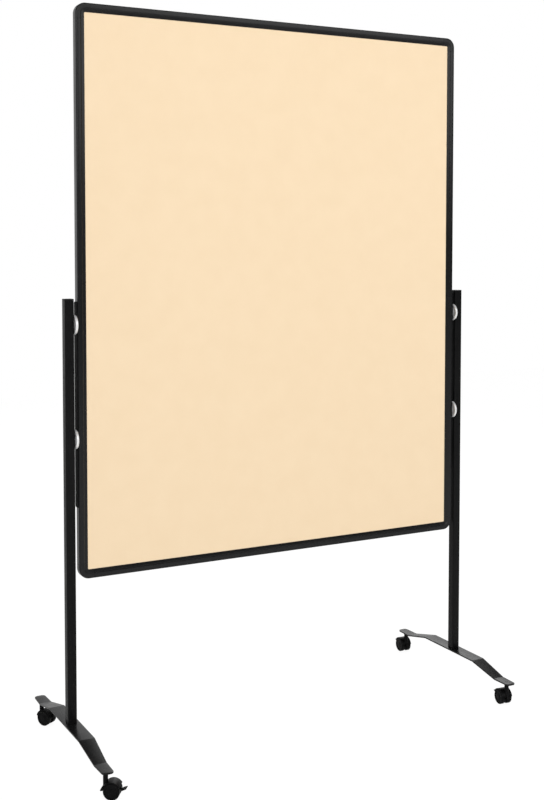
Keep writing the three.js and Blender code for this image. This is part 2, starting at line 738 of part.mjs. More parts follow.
// Side outline of the front tip of the housing, from the boss back to the hub.
function nose() {
  const root = BOSS_RADIUS - FIT;
  const shoulder = WHEEL_RADIUS + BOSS_ABOVE_AXLE + BOSS_RADIUS;
  const tip = WHEEL_RADIUS - NOSE_BELOW_AXLE;
  return points([
    [0, shoulder],
    [-root, shoulder],
    [-NOSE_REACH, tip + NOSE_DEPTH / 2],
    [-NOSE_REACH + NOSE_DEPTH / 2, tip - NOSE_DEPTH / 2],
    [CASTER_TRAIL - HUB_WEB_RADIUS, WHEEL_RADIUS],
  ]);
}

// Moulded housing: hood over both wheels, web between them, swivel boss and
// front nose, with the axle bore, the stem bore and the slot for the pedal.
function housing(name) {
  const width = WHEEL_OUTER - HOOD_INSET;
  const web = WEB_THICKNESS / 2;
  const far = WHEEL_OUTER + WHEEL_RADIUS;
  const bossTop = COLLAR_BASE - FIT;
  const hood = alongY(sector(HOOD_RADIUS, HOOD_BACK_ANGLE, HOOD_FRONT_ANGLE), -width, width);
  const webOutline = sector(WHEEL_RADIUS - WEB_INSET, -WEB_DROP_ANGLE, 180 + WEB_DROP_ANGLE);
  const hub = alongY(circle(CASTER_TRAIL, WHEEL_RADIUS, HUB_WEB_RADIUS), -web, web);
  const boss = alongZ(circle(0, 0, BOSS_RADIUS), WHEEL_RADIUS + BOSS_ABOVE_AXLE, bossTop);
  const whole = join(hood, alongY(webOutline, -web, web), hub, boss, alongY(nose(), -web, web));

  const wheelRoom = circle(CASTER_TRAIL, WHEEL_RADIUS, HOOD_BORE, WHEEL_FACETS);
  const arm = ARM_THICKNESS / 2 + FIT;
  const pocket = block(
    [CASTER_TRAIL + POCKET_INNER, CASTER_TRAIL + 2 * HOOD_RADIUS],
    [-arm, arm],
    [WHEEL_RADIUS - POCKET_BELOW, PIVOT_Z + ARM_HEIGHT],
  );
  const geometry = cut(
    whole,
    alongY(wheelRoom, web, far),
    alongY(wheelRoom, -far, -web),
    alongY(circle(CASTER_TRAIL, WHEEL_RADIUS, WHEEL_BORE), -far, far),
    alongZ(circle(0, 0, STEM_RADIUS + FIT), PIN_END - FIT, bossTop + BOSS_RADIUS),
    pocket,
    alongY(circle(PIVOT_X, PIVOT_Z, PIVOT_RADIUS + FIT), -far, far),
  );
  return mesh(name, geometry, 'blackPlastic');
}

// Axle through the housing, ending inside the closed hubs.
function axle(name) {
  const half = WHEEL_OUTER - WHEEL_CAP - FIT;
  return mesh(name, alongY(circle(CASTER_TRAIL, WHEEL_RADIUS, AXLE_RADIUS), -half, half), 'steel');
}

// Stem screwed into the foot, with a collar under it and a plain pin on which
// the housing turns.
function stem(name) {
  const profile = [
    [0, PIN_END],
    [STEM_RADIUS - STEM_CHAMFER, PIN_END],
    [STEM_RADIUS, PIN_END + STEM_CHAMFER],
    [STEM_RADIUS, COLLAR_BASE],
    [COLLAR_RADIUS, COLLAR_BASE],
    [COLLAR_RADIUS, COLLAR_TOP],
    [STEM_RADIUS, COLLAR_TOP],
    [STEM_RADIUS, TAB_TOP],
    [0, TAB_TOP],
  ];
  return mesh(name, upright(profile, BORE_FACETS), 'blackSteel');
}

// Brake pedal: an arm in the slot of the housing with a wide paddle behind the
// wheels and two short trunnions.
function pedal(name) {
  const rootX = CASTER_TRAIL + WHEEL_RADIUS + PADDLE_GAP;
  const tipX = rootX + PADDLE_LENGTH;
  const tipZ = WHEEL_RADIUS + PADDLE_RISE;
  const rootZ = tipZ - PADDLE_DROP;
  const half = PADDLE_THICKNESS / 2;
  const blade = points([
    [rootX, rootZ + half],
    [rootX, rootZ - half],
    [tipX, tipZ - half / 2],
    [tipX, tipZ + half / 2],
  ]);
  const side = points([
    ...arc(PIVOT_X, PIVOT_Z, ARM_HEIGHT / 2, ARM_EYE_ANGLE, ARM_EYE_ANGLE + 180, 2 * EDGE_STEPS),
    [rootX, rootZ - half],
    [tipX, tipZ],
    [rootX, rootZ + 2 * half],
  ]);
  const arm = alongY(side, -ARM_THICKNESS / 2, ARM_THICKNESS / 2);
  const paddle = alongY(blade, -PADDLE_WIDTH / 2, PADDLE_WIDTH / 2);
  const web = WEB_THICKNESS / 2;
  const trunnions = alongY(circle(PIVOT_X, PIVOT_Z, PIVOT_RADIUS), -web, web);
  return mesh(name, join(arm, paddle, trunnions), 'blackPlastic');
}

function caster({ name, side, end, heading }) {
  const group = new THREE.Group();
  group.add(stem(`${name}_caster_stem`), housing(`${name}_caster_housing`), axle(`${name}_caster_axle`));
  group.add(pedal(`${name}_brake_pedal`));
  group.add(wheel(`${name}_wheel_a`, 1), wheel(`${name}_wheel_b`, -1));
  group.position.set(side * POST_X, end * CASTER_FROM_CENTRE, 0);
  group.rotation.z = THREE.MathUtils.degToRad(heading);
  return group;
}

// ------------------------------------------------------------------ assembly

function partition() {
  const group = new THREE.Group();
  const right = stand('right');
  right.position.x = POST_X;
  const left = stand('left');
  left.position.x = -POST_X;
  left.rotation.z = Math.PI;
  group.add(board(), left, right, ...CASTERS.map(caster));
  const middle = new THREE.Box3().setFromObject(group, true).getCenter(new THREE.Vector3());
  group.position.set(-middle.x, -middle.y, 0);
  return group;
}

export default partition();
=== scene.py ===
"""Looks of the mobile pinboard divider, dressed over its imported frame.

Everything is in metres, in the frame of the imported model: +X along the board,
the front felt faces -Y, +Z up, and the wheels rest on z = 0.
"""

import json
import logging
import math
import random
from dataclasses import dataclass, replace
from enum import Enum
from functools import cached_property
from typing import Iterable, Mapping, Sequence

import bmesh
import bpy
from mathutils import Matrix, Vector


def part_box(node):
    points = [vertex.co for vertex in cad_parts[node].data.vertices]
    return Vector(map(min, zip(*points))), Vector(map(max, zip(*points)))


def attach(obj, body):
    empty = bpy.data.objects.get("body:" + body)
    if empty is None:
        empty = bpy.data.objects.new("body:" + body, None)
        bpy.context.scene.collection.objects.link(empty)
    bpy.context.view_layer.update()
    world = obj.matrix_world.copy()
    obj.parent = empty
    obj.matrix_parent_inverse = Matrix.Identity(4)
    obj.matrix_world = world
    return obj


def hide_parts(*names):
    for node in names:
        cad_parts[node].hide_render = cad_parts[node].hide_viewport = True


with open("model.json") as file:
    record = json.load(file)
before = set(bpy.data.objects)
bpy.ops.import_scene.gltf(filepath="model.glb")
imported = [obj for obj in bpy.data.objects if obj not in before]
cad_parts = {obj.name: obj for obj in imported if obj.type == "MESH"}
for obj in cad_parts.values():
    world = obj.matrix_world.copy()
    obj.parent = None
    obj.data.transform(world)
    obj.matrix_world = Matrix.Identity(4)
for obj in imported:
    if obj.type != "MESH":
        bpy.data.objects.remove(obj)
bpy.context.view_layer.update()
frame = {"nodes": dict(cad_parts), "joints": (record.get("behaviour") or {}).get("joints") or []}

log = logging.getLogger("pinboard")

Point = tuple[float, float, float]
Colour = tuple[float, float, float]
Range = tuple[float, float]
Profile = tuple[tuple[float, float], ...]
Outline = list[tuple[float, float]]
Ring = list[Vector]
Faces = list[Sequence[int]]
Piece = bpy.types.Object
Socket = bpy.types.NodeSocket

MM = 0.001
STAND = "stand_and_board"
CURVED_DEG = 35.0
FLAT_DEG = 30.0
BEVEL_DEG = 40.0
NOISE_BAND = (0.3, 0.7)
X_AXIS, Y_AXIS, Z_AXIS = Vector((1, 0, 0)), Vector((0, 1, 0)), Vector((0, 0, 1))
UNMOVED = Matrix.Identity(4)


class Named(Enum):
    """Choice whose name is part of the names of nodes."""

    @property
    def word(self) -> str:
        """The choice as it appears in node names."""
        return self.name.lower()


class Side(Named):
    """Side of the board, with its sign along X."""

    LEFT = -1
    RIGHT = 1


class End(Named):
    """Upper or lower end of the board, with its sign along Z."""

    TOP = 1
    BOTTOM = -1


class Level(Named):
    """Place of a hand screw on its post."""

    LOWER = 0
    UPPER = 1


class Wheel(Named):
    """Wheel of a caster, with its sign along local Y."""

    A = 1
    B = -1


class Corner(Named):
    """Corner of the stand where a caster sits."""

    FRONT_LEFT = 0
    REAR_LEFT = 1
    REAR_RIGHT = 2
    FRONT_RIGHT = 3


class Grain(Enum):
    """Direction in which drawn metal carries its fine lines."""

    ALONG_X = (0.03, 1.0, 1.0)
    ALONG_Z = (1.0, 1.0, 0.03)


class Operation(Enum):
    """What is done to a piece with other pieces."""

    JOIN = "UNION"
    CUT = "DIFFERENCE"


# ------------------------------------------------------------------- finishes


class NodeGraph:
    """Writes the node tree of one material, around its Principled shader."""

    def __init__(self, name: str) -> None:
        """Start an empty material.

        Args:
            name: Name of the material.
        """
        self.material = bpy.data.materials.new(name)
        self.material.use_nodes = True
        self.nodes = self.material.node_tree.nodes
        self.links = self.material.node_tree.links
        self.shader = self.nodes["Principled BSDF"]

    def feed(self, target: Socket, value: object) -> None:
        """Give an input its source socket, or its own constant.

        Args:
            target: The input.
            value: A socket or a constant.
        """
        if isinstance(value, Socket):
            self.links.new(value, target)
        else:
            target.default_value = value

    def add(
        self, kind: str, inputs: Mapping[str | int, object] | None = None, **settings: object
    ) -> bpy.types.Node:
        """Add a node, set its properties and feed its inputs.

        Args:
            kind: Node type without the ShaderNode prefix.
            inputs: Socket or constant of each input, by name or number.
            **settings: Properties of the node.

        Returns:
            The new node.
        """
        node = self.nodes.new(f"ShaderNode{kind}")
        for key, value in settings.items():
            setattr(node, key, value)
        for key, value in (inputs or {}).items():
            self.feed(node.inputs[key], value)
        return node

    def fit(self, **inputs: object) -> None:
        """Feed inputs of the shader.

        Args:
            **inputs: Socket or constant of each, with _ for a space in a name.
        """
        for key, value in inputs.items():
            self.feed(self.shader.inputs[key.replace("_", " ")], value)

    def place(self, stretch: Point = (1, 1, 1), centre: Point = (0, 0, 0)) -> Socket:
        """Object coordinates, moved to a centre and stretched.

        Args:
            stretch: Scale of the pattern along each axis.
            centre: Point that becomes the origin of the pattern.

        Returns:
            The vector socket.
        """
        source = self.add("TexCoord").outputs["Object"]
        shift = [-c * s for c, s in zip(centre, stretch)]
        mapping = self.add("Mapping", {"Vector": source, "Location": shift, "Scale": stretch})
        return mapping.outputs["Vector"]

    def noise(self, where: Socket, size_mm: float, detail: float = 4.0) -> Socket:
        """Noise whose blotches are about a given size.

        Args:
            where: Vector socket that places the pattern.
            size_mm: Size of a blotch in millimetres.
            detail: Number of finer layers.

        Returns:
            The factor socket, from 0 to 1.
        """
        inputs = {"Vector": where, "Scale": 1 / (size_mm * MM), "Detail": detail}
        return self.add("TexNoise", inputs).outputs["Fac"]

    def spread(self, value: Socket, low: float, high: float) -> Socket:
        """Map the middle of a noise to a range of numbers.

        Args:
            value: Noise factor.
            low: Result where the noise is low.
            high: Result where the noise is high.

        Returns:
            The mapped socket.
        """
        bottom, top = NOISE_BAND
        ends = {"From Min": bottom, "From Max": top, "To Min": low, "To Max": high}
        return self.add("MapRange", {"Value": value, **ends}).outputs["Result"]

    def blend(self, factor: Socket, first: Colour | Socket, second: Colour) -> Socket:
        """Mix a fixed colour into another one.

        Args:
            factor: Share of the second colour.
            first: Colour at factor 0, fixed or from a socket.
            second: Colour at factor 1.

        Returns:
            The colour socket.
        """
        under = first if isinstance(first, Socket) else (*first, 1)
        inputs = {"Factor": factor, "A": under, "B": (*second, 1)}
        return self.add("Mix", inputs, data_type="RGBA").outputs["Result"]

    def bump(self, height: Socket, depth_mm: float, below: Socket | None = None) -> Socket:
        """Bump the surface by a height pattern.

        Args:
            height: Height socket, from 0 to 1.
            depth_mm: Depth of the pattern in millimetres.
            below: Normal socket of a bump that this one adds to.

        Returns:
            The normal socket.
        """
        node = self.add("Bump", {"Distance": depth_mm * MM, "Height": height})
        if below is not None:
            self.feed(node.inputs["Normal"], below)
        return node.outputs["Normal"]


@dataclass(frozen=True)
class Finish:
    """A surface finish: its name and slot, colours and gloss. Sizes in mm."""

    name: str
    slot: str
    colour: Colour
    shade: Colour
    roughness: Range
    specular: float = 0.5
    metallic: float = 0.0
    patch: float = 60.0

    @cached_property
    def material(self) -> bpy.types.Material:
        """The material, made on first use.

        Returns:
            The material.
        """
        graph = NodeGraph(self.name)
        graph.fit(Metallic=self.metallic, Specular_IOR_Level=self.specular)
        self.paint(graph)
        return graph.material

    def tone(self, graph: NodeGraph, pattern: Socket) -> Socket:
        """Both colours of the finish, spread over a pattern.

        Args:
            graph: Graph of the material.
            pattern: Noise factor.

        Returns:
            The colour socket.
        """
        return graph.blend(graph.spread(pattern, 0, 1), self.colour, self.shade)

    def paint(self, graph: NodeGraph) -> None:
        """Write the finish's own pattern.

        Args:
            graph: Graph of the material.
        """
        patches = graph.noise(graph.place(), self.patch)
        tone = graph.blend(patches, self.colour, self.shade)
        graph.fit(Base_Color=tone, Roughness=graph.spread(patches, *self.roughness))


@dataclass(frozen=True)
class Felt(Finish):
    """Needled felt: matted fibres, faint clouds of colour and a soft sheen."""

    fleck: Colour = (0.80, 0.60, 0.38)
    fleck_share: Range = (-0.9, 0.22)
    fibre: float = 0.45
    fibre_stretch: float = 0.12
    fibre_depth: float = 0.05
    mat_depth: float = 0.16
    cloud: float = 55.0
    cloud_depth: float = 0.10
    sheen: float = 0.25
    sheen_roughness: float = 0.55

    def paint(self, graph: NodeGraph) -> None:
        """Write clouds, matted fibres and stray darker ones.

        Args:
            graph: Graph of the material.
        """
        where, size, long = graph.place(), self.fibre, self.fibre_stretch
        clouds = graph.noise(where, self.cloud, detail=3.0)
        mat = graph.noise(where, size, detail=6.0)
        across = graph.noise(graph.place((long, 1, 1)), size, detail=2.0)
        upward = graph.noise(graph.place((1, 1, long)), size, detail=2.0)
        stray = graph.spread(graph.noise(where, 2 * size, detail=8.0), *self.fleck_share)
        normal = graph.bump(clouds, self.cloud_depth)
        normal = graph.bump(mat, self.mat_depth, normal)
        for fibres in (across, upward):
            normal = graph.bump(fibres, self.fibre_depth, normal)
        graph.fit(
            Base_Color=graph.blend(stray, self.tone(graph, clouds), self.fleck),
            Roughness=graph.spread(mat, *self.roughness),
            Normal=normal,
            Sheen_Weight=self.sheen,
            Sheen_Roughness=self.sheen_roughness,
        )


@dataclass(frozen=True)
class DrawnMetal(Finish):
    """Anodised extrusion: fine lines along its length under a satin skin."""

    grain: Grain = Grain.ALONG_X
    line: float = 0.6
    line_depth: float = 0.012
    patch: float = 90.0

    def paint(self, graph: NodeGraph) -> None:
        """Write the drawing lines and the faint cloudiness of the skin.

        Args:
            graph: Graph of the material.
        """
        lines = graph.noise(graph.place(self.grain.value), self.line, detail=3.0)
        clouds = graph.noise(graph.place(), self.patch)
        graph.fit(
            Base_Color=self.tone(graph, lines),
            Roughness=graph.spread(clouds, *self.roughness),
            Normal=graph.bump(lines, self.line_depth),
        )


@dataclass(frozen=True)
class PowderCoat(Finish):
    """Powder coat on steel: a fine orange peel and the odd speck of dust."""

    dust: Colour = (0.04, 0.04, 0.04)
    dust_share: Range = (-7.0, 0.5)
    dust_size: float = 0.7
    peel: float = 1.1
    peel_depth: float = 0.03
    patch: float = 45.0

    def paint(self, graph: NodeGraph) -> None:
        """Write the orange peel, the flow of the coat and the specks.

        Args:
            graph: Graph of the material.
        """
        where = graph.place()
        flow = graph.noise(where, self.patch)
        peel = graph.noise(where, self.peel, detail=2.0)
        specks = graph.spread(graph.noise(where, self.dust_size, detail=0.0), *self.dust_share)
        graph.fit(
            Base_Color=graph.blend(specks, self.tone(graph, flow), self.dust),
            Roughness=graph.spread(flow, *self.roughness),
            Normal=graph.bump(peel, self.peel_depth),
        )


@dataclass(frozen=True)
class Moulded(Finish):
    """Moulded plastic with an eroded grain, rubbed smoother in patches."""

    grain: float = 0.35
    grain_depth: float = 0.02
    scuff: Colour = (0.06, 0.06, 0.06)
    scuff_share: Range = (-1.2, 0.25)
    scuff_size: float = 1.6
    scuff_stretch: float = 0.25
    patch: float = 14.0

    def paint(self, graph: NodeGraph) -> None:
        """Write the grain, the rubbed patches and light scuffs.

        Args:
            graph: Graph of the material.
        """
        where = graph.place()
        patches = graph.noise(where, self.patch)
        grain = graph.noise(where, self.grain, detail=2.0)
        upright = graph.place((1, 1, self.scuff_stretch))
        scuffs = graph.noise(upright, self.scuff_size, detail=6.0)
        scuffs = graph.spread(scuffs, *self.scuff_share)
        graph.fit(
            Base_Color=graph.blend(scuffs, self.tone(graph, patches), self.scuff),
            Roughness=graph.spread(patches, *self.roughness),
            Normal=graph.bump(grain, self.grain_depth),
        )


@dataclass(frozen=True)
class TurnedMetal(Finish):
    """Turned and plated metal: fine rings round a turning axis along X."""

    centre: Point = (0.0, 0.0, 0.0)
    ring: float = 0.5
    ring_depth: float = 0.006
    patch: float = 9.0

    def paint(self, graph: NodeGraph) -> None:
        """Write rings about the axis and a cloudy polish.

        Args:
            graph: Graph of the material.
        """
        around = graph.place((0, 1, 1), self.centre)
        length = graph.add("VectorMath", {0: around}, operation="LENGTH")
        radius = graph.add("CombineXYZ", {"X": length.outputs["Value"]})
        rings = graph.noise(radius.outputs["Vector"], self.ring, detail=3.0)
        polish = graph.noise(graph.place(), self.patch)
        graph.fit(
            Base_Color=self.tone(graph, rings),
            Roughness=graph.spread(polish, *self.roughness),
            Normal=graph.bump(rings, self.ring_depth),
        )


FELT = Felt(
    "peach_beige_felt", "felt", colour=(0.93, 0.735, 0.50), shade=(0.915, 0.718, 0.483),
    roughness=(0.92, 1.0), specular=0.15,
)
FIBREBOARD = Finish(
    "raw_fibreboard", "core", colour=(0.42, 0.30, 0.18), shade=(0.36, 0.25, 0.15),
    roughness=(0.85, 0.95), specular=0.2,
)
RAIL_METAL = DrawnMetal(
    "black_anodised_rail", "anodised_frame", colour=(0.0035, 0.0036, 0.0040),
    shade=(0.0055, 0.0057, 0.0062), roughness=(0.22, 0.28), specular=0.34, metallic=0.1,
)
STILE_METAL = replace(RAIL_METAL, name="black_anodised_stile", grain=Grain.ALONG_Z)
CORNER_PLASTIC = Moulded(
    "charcoal_corner_plastic", "corner_plastic", colour=(0.0035, 0.0035, 0.0039),
    shade=(0.0055, 0.0055, 0.0060), roughness=(0.28, 0.34), specular=0.32,
    grain=0.3, scuff=(0.014, 0.014, 0.015), scuff_share=(-1.2, 0.1),
)
COATED_STEEL = PowderCoat(
    "black_powder_coat", "powder_coat", colour=(0.0022, 0.0022, 0.0024),
    shade=(0.0034, 0.0034, 0.0036), roughness=(0.32, 0.40), specular=0.12,
)
BAR_STEEL = PowderCoat(
    "black_bar_coat", "powder_coat", colour=(0.003, 0.003, 0.0032),
    shade=(0.0045, 0.0045, 0.0047), roughness=(0.55, 0.62), specular=0.06,
)
FOOT_STEEL = PowderCoat(
    "black_foot_coat", "powder_coat", colour=(0.0050, 0.0050, 0.0052),
    shade=(0.0070, 0.0070, 0.0072), roughness=(0.26, 0.34), specular=0.17,
)
CAP_PLASTIC = Moulded(
    "black_cap_plastic", "black_plastic", colour=(0.003, 0.003, 0.0032),
    shade=(0.0045, 0.0045, 0.0047), roughness=(0.42, 0.52), specular=0.2,
)
CASTER_PLASTIC = Moulded(
    "black_caster_nylon", "black_plastic", colour=(0.0022, 0.0022, 0.0024),
    shade=(0.0036, 0.0036, 0.0038), roughness=(0.36, 0.48), specular=0.10,
)
WHEEL_PLASTIC = Moulded(
    "black_wheel_nylon", "wheel_plastic", colour=(0.0022, 0.0022, 0.0024),
    shade=(0.0038, 0.0038, 0.0039), roughness=(0.40, 0.55), specular=0.10,
    grain=0.4, scuff=(0.012, 0.012, 0.0115),
)
ZINC = Finish(
    "bright_zinc", "zinc_steel", colour=(0.60, 0.61, 0.63), shade=(0.52, 0.53, 0.56),
    roughness=(0.24, 0.36), metallic=1.0,
)
BLACK_OXIDE = Finish(
    "black_oxide_steel", "black_steel", colour=(0.010, 0.010, 0.0105),
    shade=(0.016, 0.016, 0.0165), roughness=(0.36, 0.48), specular=0.4, metallic=0.3,
)
TURNED_STEEL = TurnedMetal(
    "turned_steel", "polished_steel", colour=(0.95, 0.95, 0.95), shade=(0.88, 0.88, 0.89),
    roughness=(0.40, 0.50), metallic=0.6,
)


# ----------------------------------------------------------------- mesh tools


def link(name: str, data: bpy.types.ID) -> Piece:
    """Make an object of some data and link it to the scene.

    Args:
        name: Name of the object.
        data: Its mesh, camera or lamp.

    Returns:
        The object.
    """
    piece = bpy.data.objects.new(name, data)
    bpy.context.scene.collection.objects.link(piece)
    return piece


def shade_edges(piece: Piece, smooth_deg: float) -> None:
    """Shade a piece smooth, and keep its sharper edges sharp.

    Args:
        piece: The piece.
        smooth_deg: Edges sharper than this stay sharp.
    """
    piece.data.shade_smooth()
    piece.data.set_sharp_from_angle(angle=math.radians(smooth_deg))


def mesh_piece(
    name: str, points: Iterable[Vector], faces: Iterable[Sequence[int]],
    smooth_deg: float = CURVED_DEG,
) -> Piece:
    """Make a linked object from points and faces.

    Args:
        name: Name of the piece.
        points: Its vertices, in metres.
        faces: Vertex numbers of each face.
        smooth_deg: Edges sharper than this stay sharp.

    Returns:
        The object, with doubles merged and its faces turned outwards.
    """
    mesh = bpy.data.meshes.new(name)
    mesh.from_pydata([tuple(p) for p in points], [], [tuple(f) for f in faces])
    shape = bmesh.new()
    shape.from_mesh(mesh)
    bmesh.ops.remove_doubles(shape, verts=shape.verts, dist=1e-7)
    bmesh.ops.recalc_face_normals(shape, faces=shape.faces)
    shape.to_mesh(mesh)
    shape.free()
    piece = link(name, mesh)
    shade_edges(piece, smooth_deg)
    return piece


def skin(rings: int, count: int, closed: bool = False) -> Faces:
    """Quads between neighbouring rings of points.

    Args:
        rings: Number of rings.
        count: Points in each ring.
        closed: Whether the last ring joins the first one.

    Returns:
        The faces, for points that are listed ring by ring.
    """
    faces: Faces = []
    for i in range(rings if closed else rings - 1):
        low, high = i * count, (i + 1) % rings * count
        for k in range(count):
            n = (k + 1) % count
            faces.append((low + k, low + n, high + n, high + k))
    return faces


def loft(name: str, rings: Sequence[Ring], smooth_deg: float = CURVED_DEG) -> Piece:
    """Skin closed rings of equal count and cap both ends.

    Args:
        name: Name of the piece.
        rings: Rings of points, in order along the piece.
        smooth_deg: Edges sharper than this stay sharp.

    Returns:
        The closed piece.
    """
    count = len(rings[0])
    last = (len(rings) - 1) * count
    caps = [tuple(range(count)), tuple(range(last + count - 1, last - 1, -1))]
    points = [p for ring in rings for p in ring]
    return mesh_piece(name, points, [*skin(len(rings), count), *caps], smooth_deg)


def revolve(
    name: str, profile: Sequence[tuple[float, float]], place: Matrix,
    steps: int = 64, smooth_deg: float = CURVED_DEG,
) -> Piece:
    """Turn a profile round an axis.

    Args:
        name: Name of the piece.
        profile: Pairs of radius and height in millimetres, from axis to axis.
        place: Matrix that takes the local Z axis to the piece's place, in metres.
        steps: Steps round a full turn.
        smooth_deg: Edges sharper than this stay sharp.

    Returns:
        The closed piece.
    """
    points: list[Vector] = []
    for i in range(steps):
        angle = math.tau * i / steps
        for radius, height in profile:
            point = Vector((radius * math.cos(angle), radius * math.sin(angle), height)) * MM
            points.append(place @ point)
    count = len(profile)
    faces: Faces = []
    for i in range(steps):
        here, there = i * count, ((i + 1) % steps) * count
        for k in range(count - 1):
            quad = [here + k, there + k, there + k + 1, here + k + 1]
            for end in (k, k + 1):
                if profile[end][0] == 0:
                    quad.remove(there + end)
            if len(quad) > 2:
                faces.append(quad)
    return mesh_piece(name, points, faces, smooth_deg)


def arc(
    across: float, up: float, radius: float, start: float, stop: float, steps: int
) -> Outline:
    """Points of an arc.

    Args:
        across: First coordinate of the centre.
        up: Second coordinate of the centre.
        radius: Radius of the arc.
        start: Angle of the first point in degrees.
        stop: Angle of the last point in degrees.
        steps: Number of steps between them.

    Returns:
        The points, both ends included.
    """
    angles = [math.radians(start + (stop - start) * i / steps) for i in range(steps + 1)]
    return [(across + radius * math.cos(a), up + radius * math.sin(a)) for a in angles]


def circle(across: float, up: float, radius: float, count: int) -> Outline:
    """Points round a circle.

    Args:
        across: First coordinate of the centre.
        up: Second coordinate of the centre.
        radius: Its radius.
        count: Number of points.

    Returns:
        The points, each once.
    """
    return arc(across, up, radius, 0, 360 - 360 / count, count - 1)


def rounded(width: float, height: float, radius: float, steps: int) -> Outline:
    """Outline of a rectangle with round corners, about its middle.

    Args:
        width: Full size along the first coordinate.
        height: Full size along the second coordinate.
        radius: Radius of the corners.
        steps: Steps in each corner.

    Returns:
        The outline, counter-clockwise.
    """
    x, y = width / 2 - radius, height / 2 - radius
    quarters = [(x, y, 0), (-x, y, 90), (-x, -y, 180), (x, -y, 270)]
    return [p for cx, cy, a in quarters for p in arc(cx, cy, radius, a, a + 90, steps)]


def plate(
    name: str, outline: Sequence[tuple[float, float]], low: float, high: float,
    place: Matrix = UNMOVED,
) -> Piece:
    """Extrude an outline in the local XZ plane along local Y.

    Args:
        name: Name of the piece.
        outline: Pairs of x and z in millimetres.
        low: Lower y in millimetres.
        high: Upper y in millimetres.
        place: Matrix from local metres to the piece's place.

    Returns:
        The closed piece.
    """
    rings = [[place @ (Vector((x, y, z)) * MM) for x, z in outline] for y in (low, high)]
    return loft(name, rings)


def rod(
    name: str, radius: float, low: float, high: float, place: Matrix = UNMOVED, steps: int = 32
) -> Piece:
    """Make a plain cylinder or prism.

    Args:
        name: Name of the piece.
        radius: Its radius in millimetres.
        low: Height of its lower end in millimetres.
        high: Height of its upper end in millimetres.
        place: Matrix that takes the local Z axis to its place, in metres.
        steps: Number of its sides.

    Returns:
        The closed piece.
    """
    return revolve(name, [(0, low), (radius, low), (radius, high), (0, high)], place, steps)


def bake_modifiers(piece: Piece) -> None:
    """Replace a piece's mesh by its evaluated one and drop its modifiers.

    Args:
        piece: Piece that is changed.
    """
    evaluated = piece.evaluated_get(bpy.context.evaluated_depsgraph_get())
    mesh = bpy.data.meshes.new_from_object(evaluated)
    mesh.name = piece.name
    piece.modifiers.clear()
    piece.data = mesh


def combine(piece: Piece, tools: Sequence[Piece], operation: Operation) -> None:
    """Join pieces to one, or cut them from it, and delete them.

    Args:
        piece: Piece that is changed.
        tools: Pieces that are joined or cut.
        operation: What is done with them.
    """
    for tool in tools:
        step = piece.modifiers.new("combine", "BOOLEAN")
        step.object = tool
        step.operation = operation.value
        step.solver = "MANIFOLD"
        bake_modifiers(piece)
        bpy.data.objects.remove(tool)


def soften(piece: Piece, width_mm: float, segments: int) -> None:
    """Round the sharp edges of a piece and keep its flats flat.

    Args:
        piece: Piece that is changed.
        width_mm: Width of the rounding in millimetres.
        segments: Segments across it.
    """
    edge = piece.modifiers.new("soft_edges", "BEVEL")
    edge.width = width_mm * MM
    edge.segments = segments
    edge.limit_method = "ANGLE"
    edge.angle_limit = math.radians(BEVEL_DEG)
    edge.use_clamp_overlap = True
    bake_modifiers(piece)
    shade_edges(piece, FLAT_DEG)


def settle(piece: Piece, finish: Finish, body: str, nodes: Sequence[str] = ()) -> None:
    """Dress a finished piece and fix it to its body.

    Args:
        piece: The finished piece.
        finish: Its finish.
        body: Body that it rides on.
        nodes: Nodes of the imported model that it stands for.
    """
    piece.data.materials.clear()
    piece.data.materials.append(finish.material)
    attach(piece, body)
    if nodes:
        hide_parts(*nodes)
    log.info("%s: %d faces, rides on %s", piece.name, len(piece.data.polygons), body)


def dress_node(name: str, finish: Finish) -> None:
    """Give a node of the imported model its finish.

    Args:
        name: Name of the node.
        finish: Its finish.
    """
    node = frame["nodes"][name]
    node.data.materials.clear()
    node.data.materials.append(finish.material)
    log.info("%s: keeps its packed mesh", name)


def middle(node: str) -> Vector:
    """Middle of a node's box, in metres."""
    low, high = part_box(node)
    return (low + high) / 2


# ------------------------------------------------------------ geometry nodes


